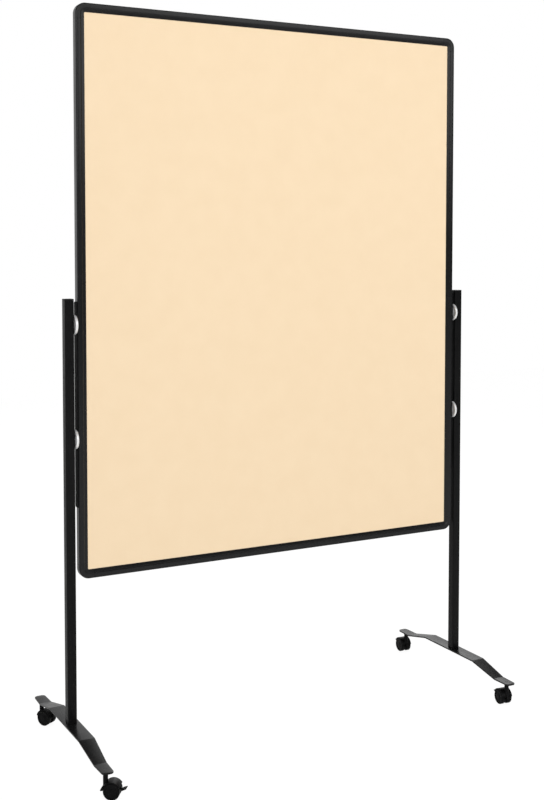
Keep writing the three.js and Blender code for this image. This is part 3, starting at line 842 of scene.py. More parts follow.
@dataclass
class RowTree:
    """Geometry nodes that set copies of a template on a row of points."""

    name: str
    finish: Finish

    def build(self) -> bpy.types.NodeTree:
        """Write the tree.

        Returns:
            A tree with inputs Template, Start, Step and Count.
        """
        tree = bpy.data.node_groups.new(self.name, "GeometryNodeTree")
        kinds = {"Template": "Object", "Start": "Vector", "Step": "Vector", "Count": "Int"}
        for name, kind in kinds.items():
            tree.interface.new_socket(name, in_out="INPUT", socket_type=f"NodeSocket{kind}")
        tree.interface.new_socket("Geometry", in_out="OUTPUT", socket_type="NodeSocketGeometry")
        given = tree.nodes.new("NodeGroupInput")
        line = tree.nodes.new("GeometryNodeMeshLine")
        copies = tree.nodes.new("GeometryNodeInstanceOnPoints")
        template = tree.nodes.new("GeometryNodeObjectInfo")
        real = tree.nodes.new("GeometryNodeRealizeInstances")
        paint = tree.nodes.new("GeometryNodeSetMaterial")
        result = tree.nodes.new("NodeGroupOutput")
        line.mode = "OFFSET"
        paint.inputs["Material"].default_value = self.finish.material
        for source, output, target, name in (
            (given, "Count", line, "Count"),
            (given, "Start", line, "Start Location"),
            (given, "Step", line, "Offset"),
            (line, "Mesh", copies, "Points"),
            (given, "Template", template, "Object"),
            (template, "Geometry", copies, "Instance"),
            (copies, "Instances", real, "Geometry"),
            (real, "Geometry", paint, "Geometry"),
            (paint, "Geometry", result, "Geometry"),
        ):
            tree.links.new(source.outputs[output], target.inputs[name])
        return tree

    def row(self, template: Piece, start: Vector, step: Vector, count: int) -> Piece:
        """Copy a template along a row and make one plain mesh of the copies.

        Args:
            template: Piece that is copied, modelled at the origin. It is deleted.
            start: Place of the first copy, in metres.
            step: From one copy to the next, in metres.
            count: Number of copies.

        Returns:
            The piece that holds all the copies.
        """
        holder = link(self.name, bpy.data.meshes.new(self.name))
        tree = self.build()
        modifier = holder.modifiers.new("row", "NODES")
        modifier.node_group = tree
        values = {
            "Template": template, "Start": tuple(start), "Step": tuple(step), "Count": count,
        }
        for item in tree.interface.items_tree:
            if item.in_out == "INPUT":
                modifier[item.identifier] = values[item.name]
        bake_modifiers(holder)
        bpy.data.objects.remove(template)
        bpy.data.node_groups.remove(tree)
        return holder


# ---------------------------------------------------------------------- board


@dataclass
class Board:
    """Panel with its felts, and the channel frame round it. Sizes in mm."""

    frame_depth: float = 24.0
    frame_face: float = 24.0
    edge_radius: float = 3.0
    band: float = 13.0
    slope: float = 2.5
    lip_face: float = 9.9
    lip_radius: float = 0.6
    lip_tip: float = 8.9
    tip_radius: float = 0.4
    pocket_half: float = 8.4
    pocket_floor: float = 10.4
    corner_radius: float = 27.0
    corner_leg: float = 40.0
    corner_steps: int = 24
    joint_gap: float = 0.3
    felt_sink: float = 0.12
    felt_step: float = 9.0
    felt_waves: int = 5
    wave_rates: Range = (14, 42)

    def __post_init__(self) -> None:
        """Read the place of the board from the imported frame."""
        self.edge = {
            Side.LEFT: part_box("frame_left_stile")[0].x,
            Side.RIGHT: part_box("frame_right_stile")[1].x,
            End.BOTTOM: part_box("frame_bottom_rail")[0].z,
            End.TOP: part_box("frame_top_rail")[1].z,
        }
        self.y = middle("panel_core").y

    def section(self) -> Outline:
        """Section of the frame.

        Returns:
            Pairs of depth and distance inwards from the outer edge, in mm.
        """
        half, face, radius = self.frame_depth / 2, self.frame_face, self.edge_radius
        foot = self.band + self.slope
        lip, tip = self.lip_radius, self.tip_radius
        near, mid, far = 0.1 * lip, 0.4 * lip, 0.6 * lip
        flank = [
            *arc(half - radius, radius, radius, -90, 0, 8),
            (half, self.band - lip),
            (half - near, self.band - mid),
            (half - mid, self.band),
            (self.lip_face + mid, foot - mid),
            (self.lip_face + near, foot),
            (self.lip_face, foot + far),
            *arc(self.lip_tip - tip, face - tip, tip, 0, 90, 4),
            (self.pocket_half, face),
            (self.pocket_half, self.pocket_floor),
        ]
        return flank + [(-x, y) for x, y in reversed(flank)]

    def ring(self, point: Vector, inward: Vector) -> Ring:
        """Section of the frame at one place.

        Args:
            point: Point on the outer edge, in metres, at y 0.
            inward: Unit vector from the outer edge towards the felt.

        Returns:
            The ring of points.
        """
        start = Vector((point.x, self.y, point.z))
        return [start + Y_AXIS * d * MM + inward * u * MM for d, u in self.section()]

    def straight(
        self, node: str, stops: Sequence[Point], inward: Vector, finish: Finish
    ) -> None:
        """Make one rail or stile.

        Args:
            node: Node that it stands for.
            stops: Its two ends on the outer edge, at y 0.
            inward: Unit vector towards the felt.
            finish: Its finish.
        """
        rings = [self.ring(Vector(stop), inward) for stop in stops]
        settle(loft(f"{node}_extrusion", rings), finish, STAND, [node])

    def rails(self) -> None:
        """Make the two rails and the two stiles."""
        edge, leg = self.edge, (self.corner_leg + self.joint_gap) * MM
        for end in End:
            stops = [(edge[side] - side.value * leg, 0, edge[end]) for side in Side]
            self.straight(f"frame_{end.word}_rail", stops, Z_AXIS * -end.value, RAIL_METAL)
        low, high = edge[End.BOTTOM] + leg, edge[End.TOP] - leg
        for side in Side:
            stops = [(edge[side], 0, z) for z in (low, high)]
            self.straight(f"frame_{side.word}_stile", stops, X_AXIS * -side.value, STILE_METAL)

    def corner(self, end: End, side: Side) -> None:
        """Make one moulded corner piece: a leg, a bend and a leg.

        Args:
            end: End of the board where it sits.
            side: Side of the board where it sits.
        """
        node = f"frame_corner_{end.word}_{side.word}"
        x, z, sx, sz = self.edge[side], self.edge[end], side.value, end.value
        radius, leg = self.corner_radius * MM, self.corner_leg * MM
        centre = Vector((x - sx * radius, 0, z - sz * radius))
        rings = [self.ring(Vector((x, 0, z - sz * leg)), Vector((-sx, 0, 0)))]
        for i in range(self.corner_steps + 1):
            angle = math.radians(90 * i / self.corner_steps)
            out = Vector((sx * math.cos(angle), 0, sz * math.sin(angle)))
            rings.append(self.ring(centre + out * radius, -out))
        rings.append(self.ring(Vector((x - sx * leg, 0, z)), Vector((0, 0, -sz))))
        settle(loft(f"{node}_moulding", rings), CORNER_PLASTIC, STAND, [node])

    def felt(self, node: str, outward: int) -> None:
        """Make one felt sheet: slightly wavy, closed round its edge.

        Args:
            node: Node that it stands for.
            outward: Sign of its face along Y.
        """
        low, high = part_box(node)
        front, back = (low.y, high.y) if outward < 0 else (high.y, low.y)
        columns = round((high.x - low.x) / (self.felt_step * MM))
        rows = round((high.z - low.z) / (self.felt_step * MM))
        draw = random.Random(node)
        spans = ((0, math.tau), self.wave_rates, self.wave_rates)
        waves = [[draw.uniform(*span) for span in spans] for _ in range(self.felt_waves)]
        points: list[Vector] = []
        for level in (front, back):
            for j in range(rows + 1):
                for i in range(columns + 1):
                    x = low.x + (high.x - low.x) * i / columns
                    z = low.z + (high.z - low.z) * j / rows
                    wave = sum(math.sin(p + a * x + b * z) for p, a, b in waves) / len(waves)
                    sink = self.felt_sink * MM * (0.5 + 0.5 * wave) * (level == front)
                    points.append(Vector((x, level - outward * sink, z)))
        piece = mesh_piece(f"{node}_sheet", points, self.felt_faces(columns, rows))
        self.trim_corners(piece, low, high)
        settle(piece, FELT, STAND, [node])

    def felt_faces(self, columns: int, rows: int) -> Faces:
        """Faces of a sheet: its two sides and the rim between them.

        Args:
            columns: Squares across each side.
            rows: Squares up each side.

        Returns:
            The faces, for the points of one side and then of the other.
        """
        wide = columns + 1
        layer = (rows + 1) * wide
        faces: Faces = []
        for j in range(rows):
            for i in range(columns):
                a = j * wide + i
                quad = (a, a + 1, a + wide + 1, a + wide)
                faces.append(quad)
                faces.append(tuple(layer + v for v in reversed(quad)))
        rim = list(range(columns))
        rim += [columns + j * wide for j in range(rows)]
        rim += [rows * wide + i for i in range(columns, 0, -1)]
        rim += [j * wide for j in range(rows, 0, -1)]
        return faces + [(b, a, a + layer, b + layer) for a, b in zip(rim, rim[1:] + rim[:1])]

    def trim_corners(self, piece: Piece, low: Vector, high: Vector) -> None:
        """Round the corners of a felt sheet, so that it clears the corner pieces.

        Args:
            piece: The sheet.
            low: Lowest corner of its box.
            high: Highest corner of its box.
        """
        radius = (self.corner_radius - self.pocket_floor - self.joint_gap) * MM
        for vertex in piece.data.vertices:
            co = vertex.co
            cx = min(max(co.x, low.x + radius), high.x - radius)
            cz = min(max(co.z, low.z + radius), high.z - radius)
            dx, dz = co.x - cx, co.z - cz
            reach = math.hypot(dx, dz)
            if dx and dz and reach > radius:
                co.x, co.z = cx + dx * radius / reach, cz + dz * radius / reach

    def build(self) -> None:
        """Make the board."""
        dress_node("panel_core", FIBREBOARD)
        self.felt("felt_front", -1)
        self.felt("felt_rear", 1)
        self.rails()
        for end in End:
            for side in Side:
                self.corner(end, side)


# ---------------------------------------------------------------------- stand


@dataclass
class StandSide:
    """Post, keyhole rail, hand screws and foot of one side. Sizes in mm."""

    side: Side
    post_size: float = 25.0
    post_wall: float = 1.5
    post_radius: float = 3.0
    post_ease: float = 0.3
    nut_hole: float = 5.8
    cutter_reach: float = 3.0
    cap_flange: float = 4.0
    cap_radius: float = 1.1
    cap_ease: float = 0.2
    cap_rise: float = 0.25
    cap_dome: tuple[Point, Point] = ((0.5, 2.4, 0.06), (0.2, 2.0, 0.0))
    plug_play: float = 0.6
    plug_depth: float = 14.0
    plug_taper: float = 1.0
    plug_radii: Range = (0.8, 1.2)
    rail_screw_head: float = 3.4
    rail_screw_rise: float = 0.9
    rail_screw_seat: float = 1.2
    rail_screw_inset: float = 40.0
    rail_screw_count: int = 4
    recess: Profile = ((-1.7, 0.35), (1.7, 0.35), (1.9, 2), (-1.9, 2))
    recess_half: float = 0.28
    shank: float = 4.0
    head_radius: float = 6.5
    head_depth: float = 2.2
    head_ease: float = 0.6
    neck: float = 5.3
    disc: float = 6.6
    disc_hub: float = 9.0
    hub_steps: Profile = ((-0.8, 0.0), (-0.2, 0.15), (0.6, 0.8))
    disc_rim: float = 3.5
    rim_steps: Profile = ((-1.8, 0.8), (-1.0, 0.2))
    disc_edge: float = 1.2
    edge_steps: Range = (1.4, 1.6)
    thread_pitch: float = 1.25
    thread_depth: float = 0.5
    thread_chamfer: float = 0.8
    foot_thickness: float = 4.0
    foot_rise: float = 24.0
    foot_centre: float = 121.0
    foot_slope_end: float = 221.0
    foot_bend: float = 22.0
    foot_bend_steps: int = 8
    foot_widths: Point = (43.0, 34.0, 30.0)
    foot_tip_radius: float = 9.0
    foot_tip_end: float = 0.05
    foot_edge: float = 0.7
    foot_hole: float = 4.3
    foot_hole_half: float = 25.0
    foot_hole_drop: float = 14.0
    bolt_head: float = 4.0
    bolt_crown: float = 0.98
    bolt_socket: float = 2.9
    bolt_socket_depth: float = 2.4

    def __post_init__(self) -> None:
        """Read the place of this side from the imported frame."""
        self.word = self.side.word
        low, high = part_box(f"{self.word}_post")
        self.x, self.y = (low.x + high.x) / 2, (low.y + high.y) / 2
        self.base, self.end = low.z, high.z
        self.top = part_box(f"{self.word}_post_cap")[1].z
        low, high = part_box(f"{self.word}_foot")
        self.foot_top = high.z
        self.foot_half = (high.y - low.y) / 2 / MM
        stems = [middle(f"{corner.word}_caster_stem") for corner in Corner]
        near = [stem.y for stem in stems if abs(stem.x - self.x) < self.post_size * MM]
        self.foot_holes = [self.y, *near]

    def square(self, size: float, radius: float, z: float) -> Ring:
        """Rounded square about the post's axis.

        Args:
            size: Its size in mm.
            radius: Radius of its corners in mm.
            z: Its height in metres.

        Returns:
            The ring of points.
        """
        outline = rounded(size, size, radius, 8)
        return [Vector((self.x + a * MM, self.y + b * MM, z)) for a, b in outline]

    def post(self) -> None:
        """Make the square tube, with its wall open at both ends."""
        size, radius = self.post_size, self.post_radius
        wall, ease = self.post_wall, self.post_ease
        inner = (size - 2 * wall, radius - wall)
        eased = (size - 2 * ease, radius - ease)
        rings = [
            self.square(*inner, self.base),
            self.square(*eased, self.base),
            self.square(size, radius, self.base + ease * MM),
            self.square(size, radius, self.end - ease * MM),
            self.square(*eased, self.end),
            self.square(*inner, self.end),
        ]
        points = [p for ring in rings for p in ring]
        faces = skin(len(rings), len(rings[0]), closed=True)
        piece = mesh_piece(f"{self.word}_post_tube", points, faces)
        combine(piece, [self.nut_cutter(level) for level in Level], Operation.CUT)
        shade_edges(piece, CURVED_DEG)
        settle(piece, COATED_STEEL, STAND, [f"{self.word}_post"])

    def nut_cutter(self, level: Level) -> Piece:
        """Cutter for the hole of one nut in the inner wall of the post.

        Args:
            level: Place of the nut.

        Returns:
            The cutter.
        """
        screw = middle(f"{self.word}_{level.word}_hand_screw")
        inner = self.x - self.side.value * self.post_size / 2 * MM
        place = Matrix.Translation(Vector((inner, self.y, screw.z)))
        place = place @ Matrix.Rotation(math.pi / 2, 4, "Y")
        return rod("nut_hole", self.nut_hole, -self.cutter_reach, self.cutter_reach, place)

    def cap(self) -> None:
        """Make the end cap: a low domed flange over the tube and its plug."""
        size, radius = self.post_size, self.post_radius
        soft, ease = self.cap_radius, self.cap_ease
        depth, taper = self.plug_depth, self.plug_taper
        base = self.top - self.cap_flange * MM
        plug = size - 2 * self.post_wall - self.plug_play
        tip_radius, plug_radius = self.plug_radii
        rings = [
            self.square(plug - taper, tip_radius, base - depth * MM),
            self.square(plug, plug_radius, base - (depth - taper) * MM),
            self.square(plug, plug_radius, base),
            self.square(size - 2 * ease, radius - ease, base),
            self.square(size, radius, base + ease * MM),
        ]
        for degrees in range(0, 91, 15):
            angle = math.radians(degrees)
            inset = 2 * soft * (1 - math.cos(angle))
            z = self.top - soft * MM * (1 - math.sin(angle)) - self.cap_rise * MM
            rings.append(self.square(size - inset, radius - inset / 3, z))
        for share, round_radius, drop in self.cap_dome:
            rings.append(self.square(size * share, round_radius, self.top - drop * MM))
        piece = loft(f"{self.word}_post_cap_moulding", rings)
        settle(piece, CAP_PLASTIC, STAND, [f"{self.word}_post_cap"])

    def keyhole_rail(self) -> None:
        """Dress the keyhole rail and set its screws."""
        node = f"{self.word}_keyhole_rail"
        dress_node(node, BAR_STEEL)
        low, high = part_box(node)
        outer = high.x if self.side is Side.RIGHT else low.x
        inset, count = self.rail_screw_inset * MM, self.rail_screw_count
        step = Vector((0, 0, (high.z - low.z - 2 * inset) / (count - 1)))
        start = Vector((outer, self.y, low.z + inset))
        tree = RowTree(f"{self.word}_keyhole_rail_screws", BLACK_OXIDE)
        settle(tree.row(self.rail_screw(), start, step, count), BLACK_OXIDE, STAND)

    def rail_screw(self) -> Piece:
        """Low round screw head with a cross recess, on its seat at the origin.

        Returns:
            The template, with its head pointing away from the board.
        """
        radius, rise, seat = self.rail_screw_head, self.rail_screw_rise, self.rail_screw_seat
        angles = [math.radians(degrees) for degrees in range(0, 81, 10)]
        dome = [(radius * math.cos(a), rise * math.sin(a)) for a in angles]
        profile = [(0, -seat), (radius * 0.5, -seat), (radius, 0), *dome, (0, rise)]
        head = revolve("rail_screw_head", profile, UNMOVED, 24)
        half, turns = self.recess_half, [Matrix.Rotation(a, 4, "Z") for a in (0, math.pi / 2)]
        slots = [plate("recess", self.recess, -half, half, turn) for turn in turns]
        combine(head, slots, Operation.CUT)
        head.data.transform(Matrix.Rotation(self.side.value * math.pi / 2, 4, "Y"))
        return head

    def hand_screw(self, level: Level) -> None:
        """Make one hand screw: head, neck, dished disc and threaded end.

        Args:
            level: Its place on the post.
        """
        node = f"{self.word}_{level.word}_hand_screw"
        low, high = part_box(node)
        radius = (high.z - low.z) / 2 / MM
        length = (high.x - low.x) / MM
        centre = (low.z + high.z) / 2
        start = low.x if self.side is Side.RIGHT else high.x
        place = Matrix.Translation(Vector((start, self.y, centre)))
        place = place @ Matrix.Rotation(self.side.value * math.pi / 2, 4, "Y")
        near, far, edge = self.neck, self.neck + self.disc, self.disc_edge
        (inset, drop), hub, rim = self.edge_steps, self.disc_hub, radius - self.disc_rim
        half = [
            (self.shank, near),
            *[(hub + out, near + sunk) for out, sunk in self.hub_steps],
            *[(rim + out, near + sunk) for out, sunk in self.rim_steps],
            (radius - inset, near),
            *arc(radius - edge, near + edge, edge, -80, -10, 5),
            (radius, near + drop), (radius, near + self.disc / 2),
        ]
        mirrored = [(r, near + far - h) for r, h in reversed(half)]
        head, wide, ease = self.head_depth, self.head_radius, self.head_ease
        profile = [
            (0, 0), (wide - ease, 0), (wide, 0.5), (wide, head), (self.shank, head),
            *half, *mirrored[1:], *self.thread(far, length),
        ]
        name = f"turned_steel_{self.word}_{level.word}"
        finish = replace(TURNED_STEEL, name=name, centre=(0.0, self.y, centre))
        settle(revolve(f"{node}_turned", profile, place, 96, 50), finish, node, [node])

    def thread(self, start: float, stop: float) -> Outline:
        """Profile of a ringed thread that ends in a chamfer.

        Args:
            start: Height where the thread begins.
            stop: Height of the tip.

        Returns:
            Pairs of radius and height, ending on the axis.
        """
        radius, pitch, chamfer = self.shank, self.thread_pitch, self.thread_chamfer
        profile = [(radius, start)]
        height = start + pitch
        while height + pitch < stop - chamfer:
            profile += [(radius, height), (radius - self.thread_depth, height + pitch / 2)]
            height += pitch
        return profile + [(radius, stop - chamfer), (radius - chamfer, stop), (0, stop)]

    def foot_line(self) -> list[tuple[Vector, Vector]]:
        """Centre line of the foot from its middle to the rear tip.

        Returns:
            Pairs of a point and the upward normal there, as (y, z) in mm.
        """
        mid = -self.foot_thickness / 2
        tab = -self.foot_rise - self.foot_thickness / 2
        start, stop, tip = self.foot_centre, self.foot_slope_end, self.foot_half
        corners = [Vector(at) for at in ((0, mid), (start, mid), (stop, tab), (tip, tab))]
        line = [(corners[0], Vector((0, 1)))]
        for before, corner, after in zip(corners, corners[1:], corners[2:]):
            d0, d1 = (corner - before).normalized(), (after - corner).normalized()
            turn = math.atan2(d0.x * d1.y - d0.y * d1.x, d0.dot(d1))
            start = corner - d0 * (self.foot_bend * math.tan(abs(turn) / 2))
            up = Vector((-d0.y, d0.x))
            centre = start + up * self.foot_bend * math.copysign(1, turn)
            for i in range(self.foot_bend_steps + 1):
                swing = Matrix.Rotation(turn * i / self.foot_bend_steps, 2)
                line.append((centre + swing @ (start - centre), swing @ up))
        line.append((corners[-1], Vector((0, 1))))
        return line

    def foot_width(self, y: float) -> float:
        """Width of the foot, which tapers in two stages.

        Args:
            y: Distance from its middle, in mm.

        Returns:
            The width in mm.
        """
        wide, bend, tip = self.foot_widths
        if y <= self.foot_centre:
            return wide
        if y <= self.foot_slope_end:
            share = (y - self.foot_centre) / (self.foot_slope_end - self.foot_centre)
            return wide + (bend - wide) * share
        share = (y - self.foot_slope_end) / (self.foot_half - self.foot_slope_end)
        return bend + (tip - bend) * share

    def foot_rings(self) -> list[Ring]:
        """Sections of the foot from its middle to the rear tip.

        Returns:
            The rings of points, in metres.
        """
        *stations, (end, level) = self.foot_line()
        radius = self.foot_tip_radius
        sines = [math.sin(math.radians(degrees)) for degrees in range(10, 81, 10)]
        insets = (radius, *[radius * (1 - sine) for sine in sines], self.foot_tip_end)
        stations += [(Vector((self.foot_half - inset, end.y)), level) for inset in insets]
        rings = []
        for point, normal in stations:
            width = self.foot_width(point.x)
            past = point.x - (self.foot_half - radius)
            if past > 0:
                width -= 2 * (radius - math.sqrt(max(radius**2 - past**2, 0)))
            ring = []
            for a, b in rounded(width, self.foot_thickness, self.foot_edge, 4):
                at = point + normal * b
                y, z = self.y + at.x * MM, self.foot_top + at.y * MM
                ring.append(Vector((self.x + a * MM, y, z)))
            rings.append(ring)
        return rings

    def foot(self) -> None:
        """Make the bent foot with its three holes."""
        rear, twice = self.foot_rings(), 2 * self.y
        front = [[Vector((p.x, twice - p.y, p.z)) for p in ring] for ring in reversed(rear[1:])]
        piece = loft(f"{self.word}_foot_bar", [*front, *rear], FLAT_DEG)
        half, z = self.foot_hole_half, self.foot_top - self.foot_hole_drop * MM
        places = [Matrix.Translation(Vector((self.x, y, z))) for y in self.foot_holes]
        holes = [rod("hole", self.foot_hole, -half, half, place) for place in places]
        combine(piece, holes, Operation.CUT)
        shade_edges(piece, FLAT_DEG)
        settle(piece, FOOT_STEEL, STAND, [f"{self.word}_foot"])

    def foot_bolt(self) -> None:
        """Make the button-head screw under the foot, with its hex socket."""
        node = f"{self.word}_foot_bolt"
        low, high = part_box(node)
        place = Matrix.Translation(Vector((self.x, self.y, low.z)))
        head, wide = self.bolt_head, self.head_radius
        dome = arc(0, head, head, -90, 0, 8)
        crown = [(r * wide / head, h * self.bolt_crown) for r, h in dome[1:]]
        shaft = self.thread(head, (high.z - low.z) / MM)
        profile = [(0, 0.0), *crown, (wide, head), *shaft]
        piece = revolve(f"{node}_turned", profile, place, 48)
        depth = self.bolt_socket_depth
        socket = rod("hexagon", self.bolt_socket, -self.cutter_reach, depth, place, 6)
        combine(piece, [socket], Operation.CUT)
        settle(piece, ZINC, STAND, [node])

    def build(self) -> None:
        """Make this side of the stand."""
        self.post()
        self.cap()
        self.keyhole_rail()
        self.foot()
        self.foot_bolt()
        for level in Level:
            self.hand_screw(level)
            dress_node(f"{self.word}_{level.word}_post_nut", ZINC)
        dress_node(f"{self.word}_foot_plug", ZINC)


# -------------------------------------------------------------------- casters


@dataclass
class Caster:
    """One braked twin-wheel caster. Sizes in mm, in its own frame.

    Its swivel axis is local Z, and its wheels trail to local +X.
    """

    corner: Corner
    trail: float = 18.0
    wheel_radius: float = 21.0
    wheel_inner: float = 4.8
    wheel_outer: float = 17.2
    wheel_bore: float = 3.3
    wheel_bore_depth: float = 4.0
    tread_edges: Range = (0.7, 2.6)
    tread_inset: float = 0.9
    tread_flat: Range = (2.4, 4.2)
    wheel_groove: Profile = ((9.0, 0), (9.6, 0.8), (17.4, 0.8), (18.0, 0))
    wheel_face: Profile = (
        (16.9, 0), (16.6, 0.1), (16.3, 0.5), (16.0, 1.4), (15.7, 1.7), (12.0, 1.55), (8.4, 1.5),
        (8.0, 1.3), (7.7, 0.9), (7.2, 0.62), (5.0, 0.35), (2.4, 0.2), (0, 0.15),
    )
    web: float = 8.6
    web_radius: float = 20.4
    hub_radius: float = 9.0
    hood_radius: float = 24.0
    hood_bore: float = 21.9
    hood_half: float = 16.2
    hood_angles: Range = (32.0, 168.0)
    housing_edge: float = 0.5
    boss_radius: float = 6.3
    boss_base: float = 24.0
    boss_top: float = 62.4
    nose_front: Profile = ((0, 30.3), (-6, 30.3), (-9.2, 26.6), (-12.2, 21.6))
    nose_tip: Point = (-11.6, 18.2, 1.5)
    nose_back: Range = (9, 21)
    stem_radius: float = 4.0
    stem_base: float = 36.7
    pin_radius: float = 1.5
    play: float = 0.3
    pivot: Range = (28.0, 30.0)
    pocket_margins: Point = (1.0, 7.0, 5.0)
    arm: float = 4.4
    arm_eye: float = 2.5
    arm_top: float = 27.0
    paddle_root: float = 43.0
    paddle_tip: float = 54.0
    paddle_half: float = 9.0
    paddle_under: Range = (22.5, 27.2)
    paddle_over: Range = (25.5, 28.0)
    paddle_lip: float = 0.75
    paddle_backs: Range = (2.0, 0.6)
    pedal_edge: float = 0.4
    rib_count: int = 5
    rib_insets: Range = (1.6, 1.4)
    rib_lifts: Range = (0.33, -0.2)
    rib_end: float = 1.2
    rib_foot: Profile = ((-0.45, -0.35), (0.45, -0.2))
    rib_crown: Range = (0.1, 0.4)

    def __post_init__(self) -> None:
        """Read the caster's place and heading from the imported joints."""
        self.word = self.corner.word
        joints = {joint["name"]: joint for joint in frame["joints"]}
        swivel = Vector(joints[f"{self.word}_swivel"]["pos_m"])
        axle = Vector(joints[f"{self.word}_wheel_a_spin"]["pos_m"])
        heading = math.atan2(axle.y - swivel.y, axle.x - swivel.x)
        ground = Vector((swivel.x, swivel.y, 0))
        self.place = Matrix.Translation(ground) @ Matrix.Rotation(heading, 4, "Z")

    def slab(self, name: str, outline: Sequence[tuple[float, float]], half: float) -> Piece:
        """Extrude an outline equally to both sides of the caster's middle plane.

        Args:
            name: Name of the piece.
            outline: Pairs of x and z.
            half: Half its thickness.

        Returns:
            The piece, in the caster's own frame.
        """
        return plate(name, outline, -half, half)

    def housing(self) -> None:
        """Make the moulded housing: hood, web, boss and nose."""
        cx, cz = self.trail, self.wheel_radius
        hood = arc(cx, cz, self.hood_radius, *self.hood_angles, 48)
        piece = self.slab(f"{self.word}_caster_housing_moulding", hood, self.hood_half)
        parts = [
            self.slab("web", arc(cx, cz, self.web_radius, -5, 185, 48), self.web / 2),
            self.slab("hub", circle(cx, cz, self.hub_radius, 48), self.web / 2),
            rod("boss", self.boss_radius, self.boss_base, self.boss_top, steps=48),
            self.slab("nose", self.nose(), self.web / 2),
        ]
        combine(piece, parts, Operation.JOIN)
        combine(piece, self.housing_cutters(), Operation.CUT)
        soften(piece, self.housing_edge, 3)
        piece.data.transform(self.place)
        settle(piece, CASTER_PLASTIC, f"{self.word}_caster", [f"{self.word}_caster_housing"])

    def housing_cutters(self) -> list[Piece]:
        """Cutters for the wheel rooms, the pedal slot and the three bores.

        Returns:
            The cutters, in the caster's own frame.
        """
        cx, cz = self.trail, self.wheel_radius
        px, pz = self.pivot
        inner, far, play = self.web / 2, 2 * self.wheel_radius, self.play
        room, pin = circle(cx, cz, self.hood_bore, 60), circle(px, pz, self.pin_radius + play, 24)
        stem, base = self.stem_radius + play, self.stem_base - play
        start, drop, rise = self.pocket_margins
        left, right, low, high = cx + start, cx + far, cz - drop, pz + rise
        pocket = [(left, low), (right, low), (right, high), (left, high)]
        return [
            plate("room", room, inner, far),
            plate("room", room, -far, -inner),
            self.slab("pocket", pocket, self.arm / 2 + play),
            self.slab("bore", circle(cx, cz, self.wheel_bore, 32), far),
            self.slab("pin_hole", pin, far),
            rod("stem_bore", stem, base, 2 * self.boss_top, steps=48),
        ]

    def nose(self) -> Outline:
        """Side outline of the front tip, from the boss down and back to the hub."""
        return [*self.nose_front, *arc(*self.nose_tip, 170, 290, 6), self.nose_back]

    def wheel(self, wheel: Wheel) -> None:
        """Make one wheel: crowned tread, ring groove and domed hub.

        Args:
            wheel: Which of the two.
        """
        node = f"{self.word}_wheel_{wheel.word}"
        low, high, radius = self.wheel_inner, self.wheel_outer, self.wheel_radius
        centre = Matrix.Translation(Vector((self.trail, 0, radius)) * MM)
        place = self.place @ centre @ Matrix.Rotation(-wheel.value * math.pi / 2, 4, "X")
        (inner, outer), (start, stop) = self.tread_edges, self.tread_flat
        bottom = high - self.wheel_bore_depth
        profile = [
            (0, bottom), (self.wheel_bore, bottom), (self.wheel_bore, low),
            *[(r, low + sunk) for r, sunk in self.wheel_groove],
            (radius - self.tread_inset, low),
            *arc(radius - self.tread_inset, low + inner, inner, -80, 0, 4),
            (radius, low + start), (radius, high - stop),
            *arc(radius - outer, high - outer, outer, 8, 90, 8),
            *[(r, high - sunk) for r, sunk in self.wheel_face],
        ]
        settle(revolve(f"{node}_moulding", profile, place, 96), WHEEL_PLASTIC, node, [node])

    def pedal(self) -> None:
        """Make the brake pedal: an arm on a pin and a paddle."""
        px, pz = self.pivot
        root, tip, lip = self.paddle_root, self.paddle_tip, self.paddle_lip
        (under, lift), (over, end) = self.paddle_under, self.paddle_over
        arm_end, blade_end = (tip - back for back in self.paddle_backs)
        arm = [*arc(px, pz, self.arm_eye, 60, 240, 10), (root, under), (arm_end, lift)]
        arm.append((root, self.arm_top))
        blade = [(root, over), (root, under), (blade_end, lift)]
        blade += arc(tip - lip, end, lip, -60, 90, 5)
        piece = self.slab(f"{self.word}_brake_pedal_moulding", arm, self.arm / 2)
        paddle = self.slab("paddle", blade, self.paddle_half)
        pin = self.slab("trunnions", circle(px, pz, self.pin_radius, 24), self.web / 2)
        combine(piece, [paddle, pin], Operation.JOIN)
        soften(piece, self.pedal_edge, 2)
        piece.data.transform(self.place)
        settle(piece, CASTER_PLASTIC, f"{self.word}_brake_pedal", [f"{self.word}_brake_pedal"])

    def pedal_ribs(self) -> None:
        """Set the grip ribs on the upper face of the paddle."""
        (front, back), (first, last) = self.rib_insets, self.rib_lifts
        over, end = self.paddle_over
        low = Vector((self.paddle_root + front, over + first))
        high = Vector((self.paddle_tip - back, end + self.paddle_lip + last))
        along = (high - low) / (self.rib_count - 1)
        half, (rise, radius) = self.paddle_half - self.rib_end, self.rib_crown
        turn = self.place.to_3x3().to_4x4()
        section = [*self.rib_foot, *arc(0, rise, radius, -10, 190, 6)]
        start = self.place @ (Vector((low.x, 0, low.y)) * MM)
        step = turn.to_3x3() @ (Vector((along.x, 0, along.y)) * MM)
        tree = RowTree(f"{self.word}_brake_pedal_ribs", CASTER_PLASTIC)
        ribs = tree.row(plate("rib", section, -half, half, turn), start, step, self.rib_count)
        settle(ribs, CASTER_PLASTIC, f"{self.word}_brake_pedal")

    def build(self) -> None:
        """Make the caster."""
        self.housing()
        for wheel in Wheel:
            self.wheel(wheel)
        self.pedal()
        self.pedal_ribs()
        dress_node(f"{self.word}_caster_stem", BLACK_OXIDE)
        dress_node(f"{self.word}_caster_axle", ZINC)


# --------------------------------------------------------------------- studio


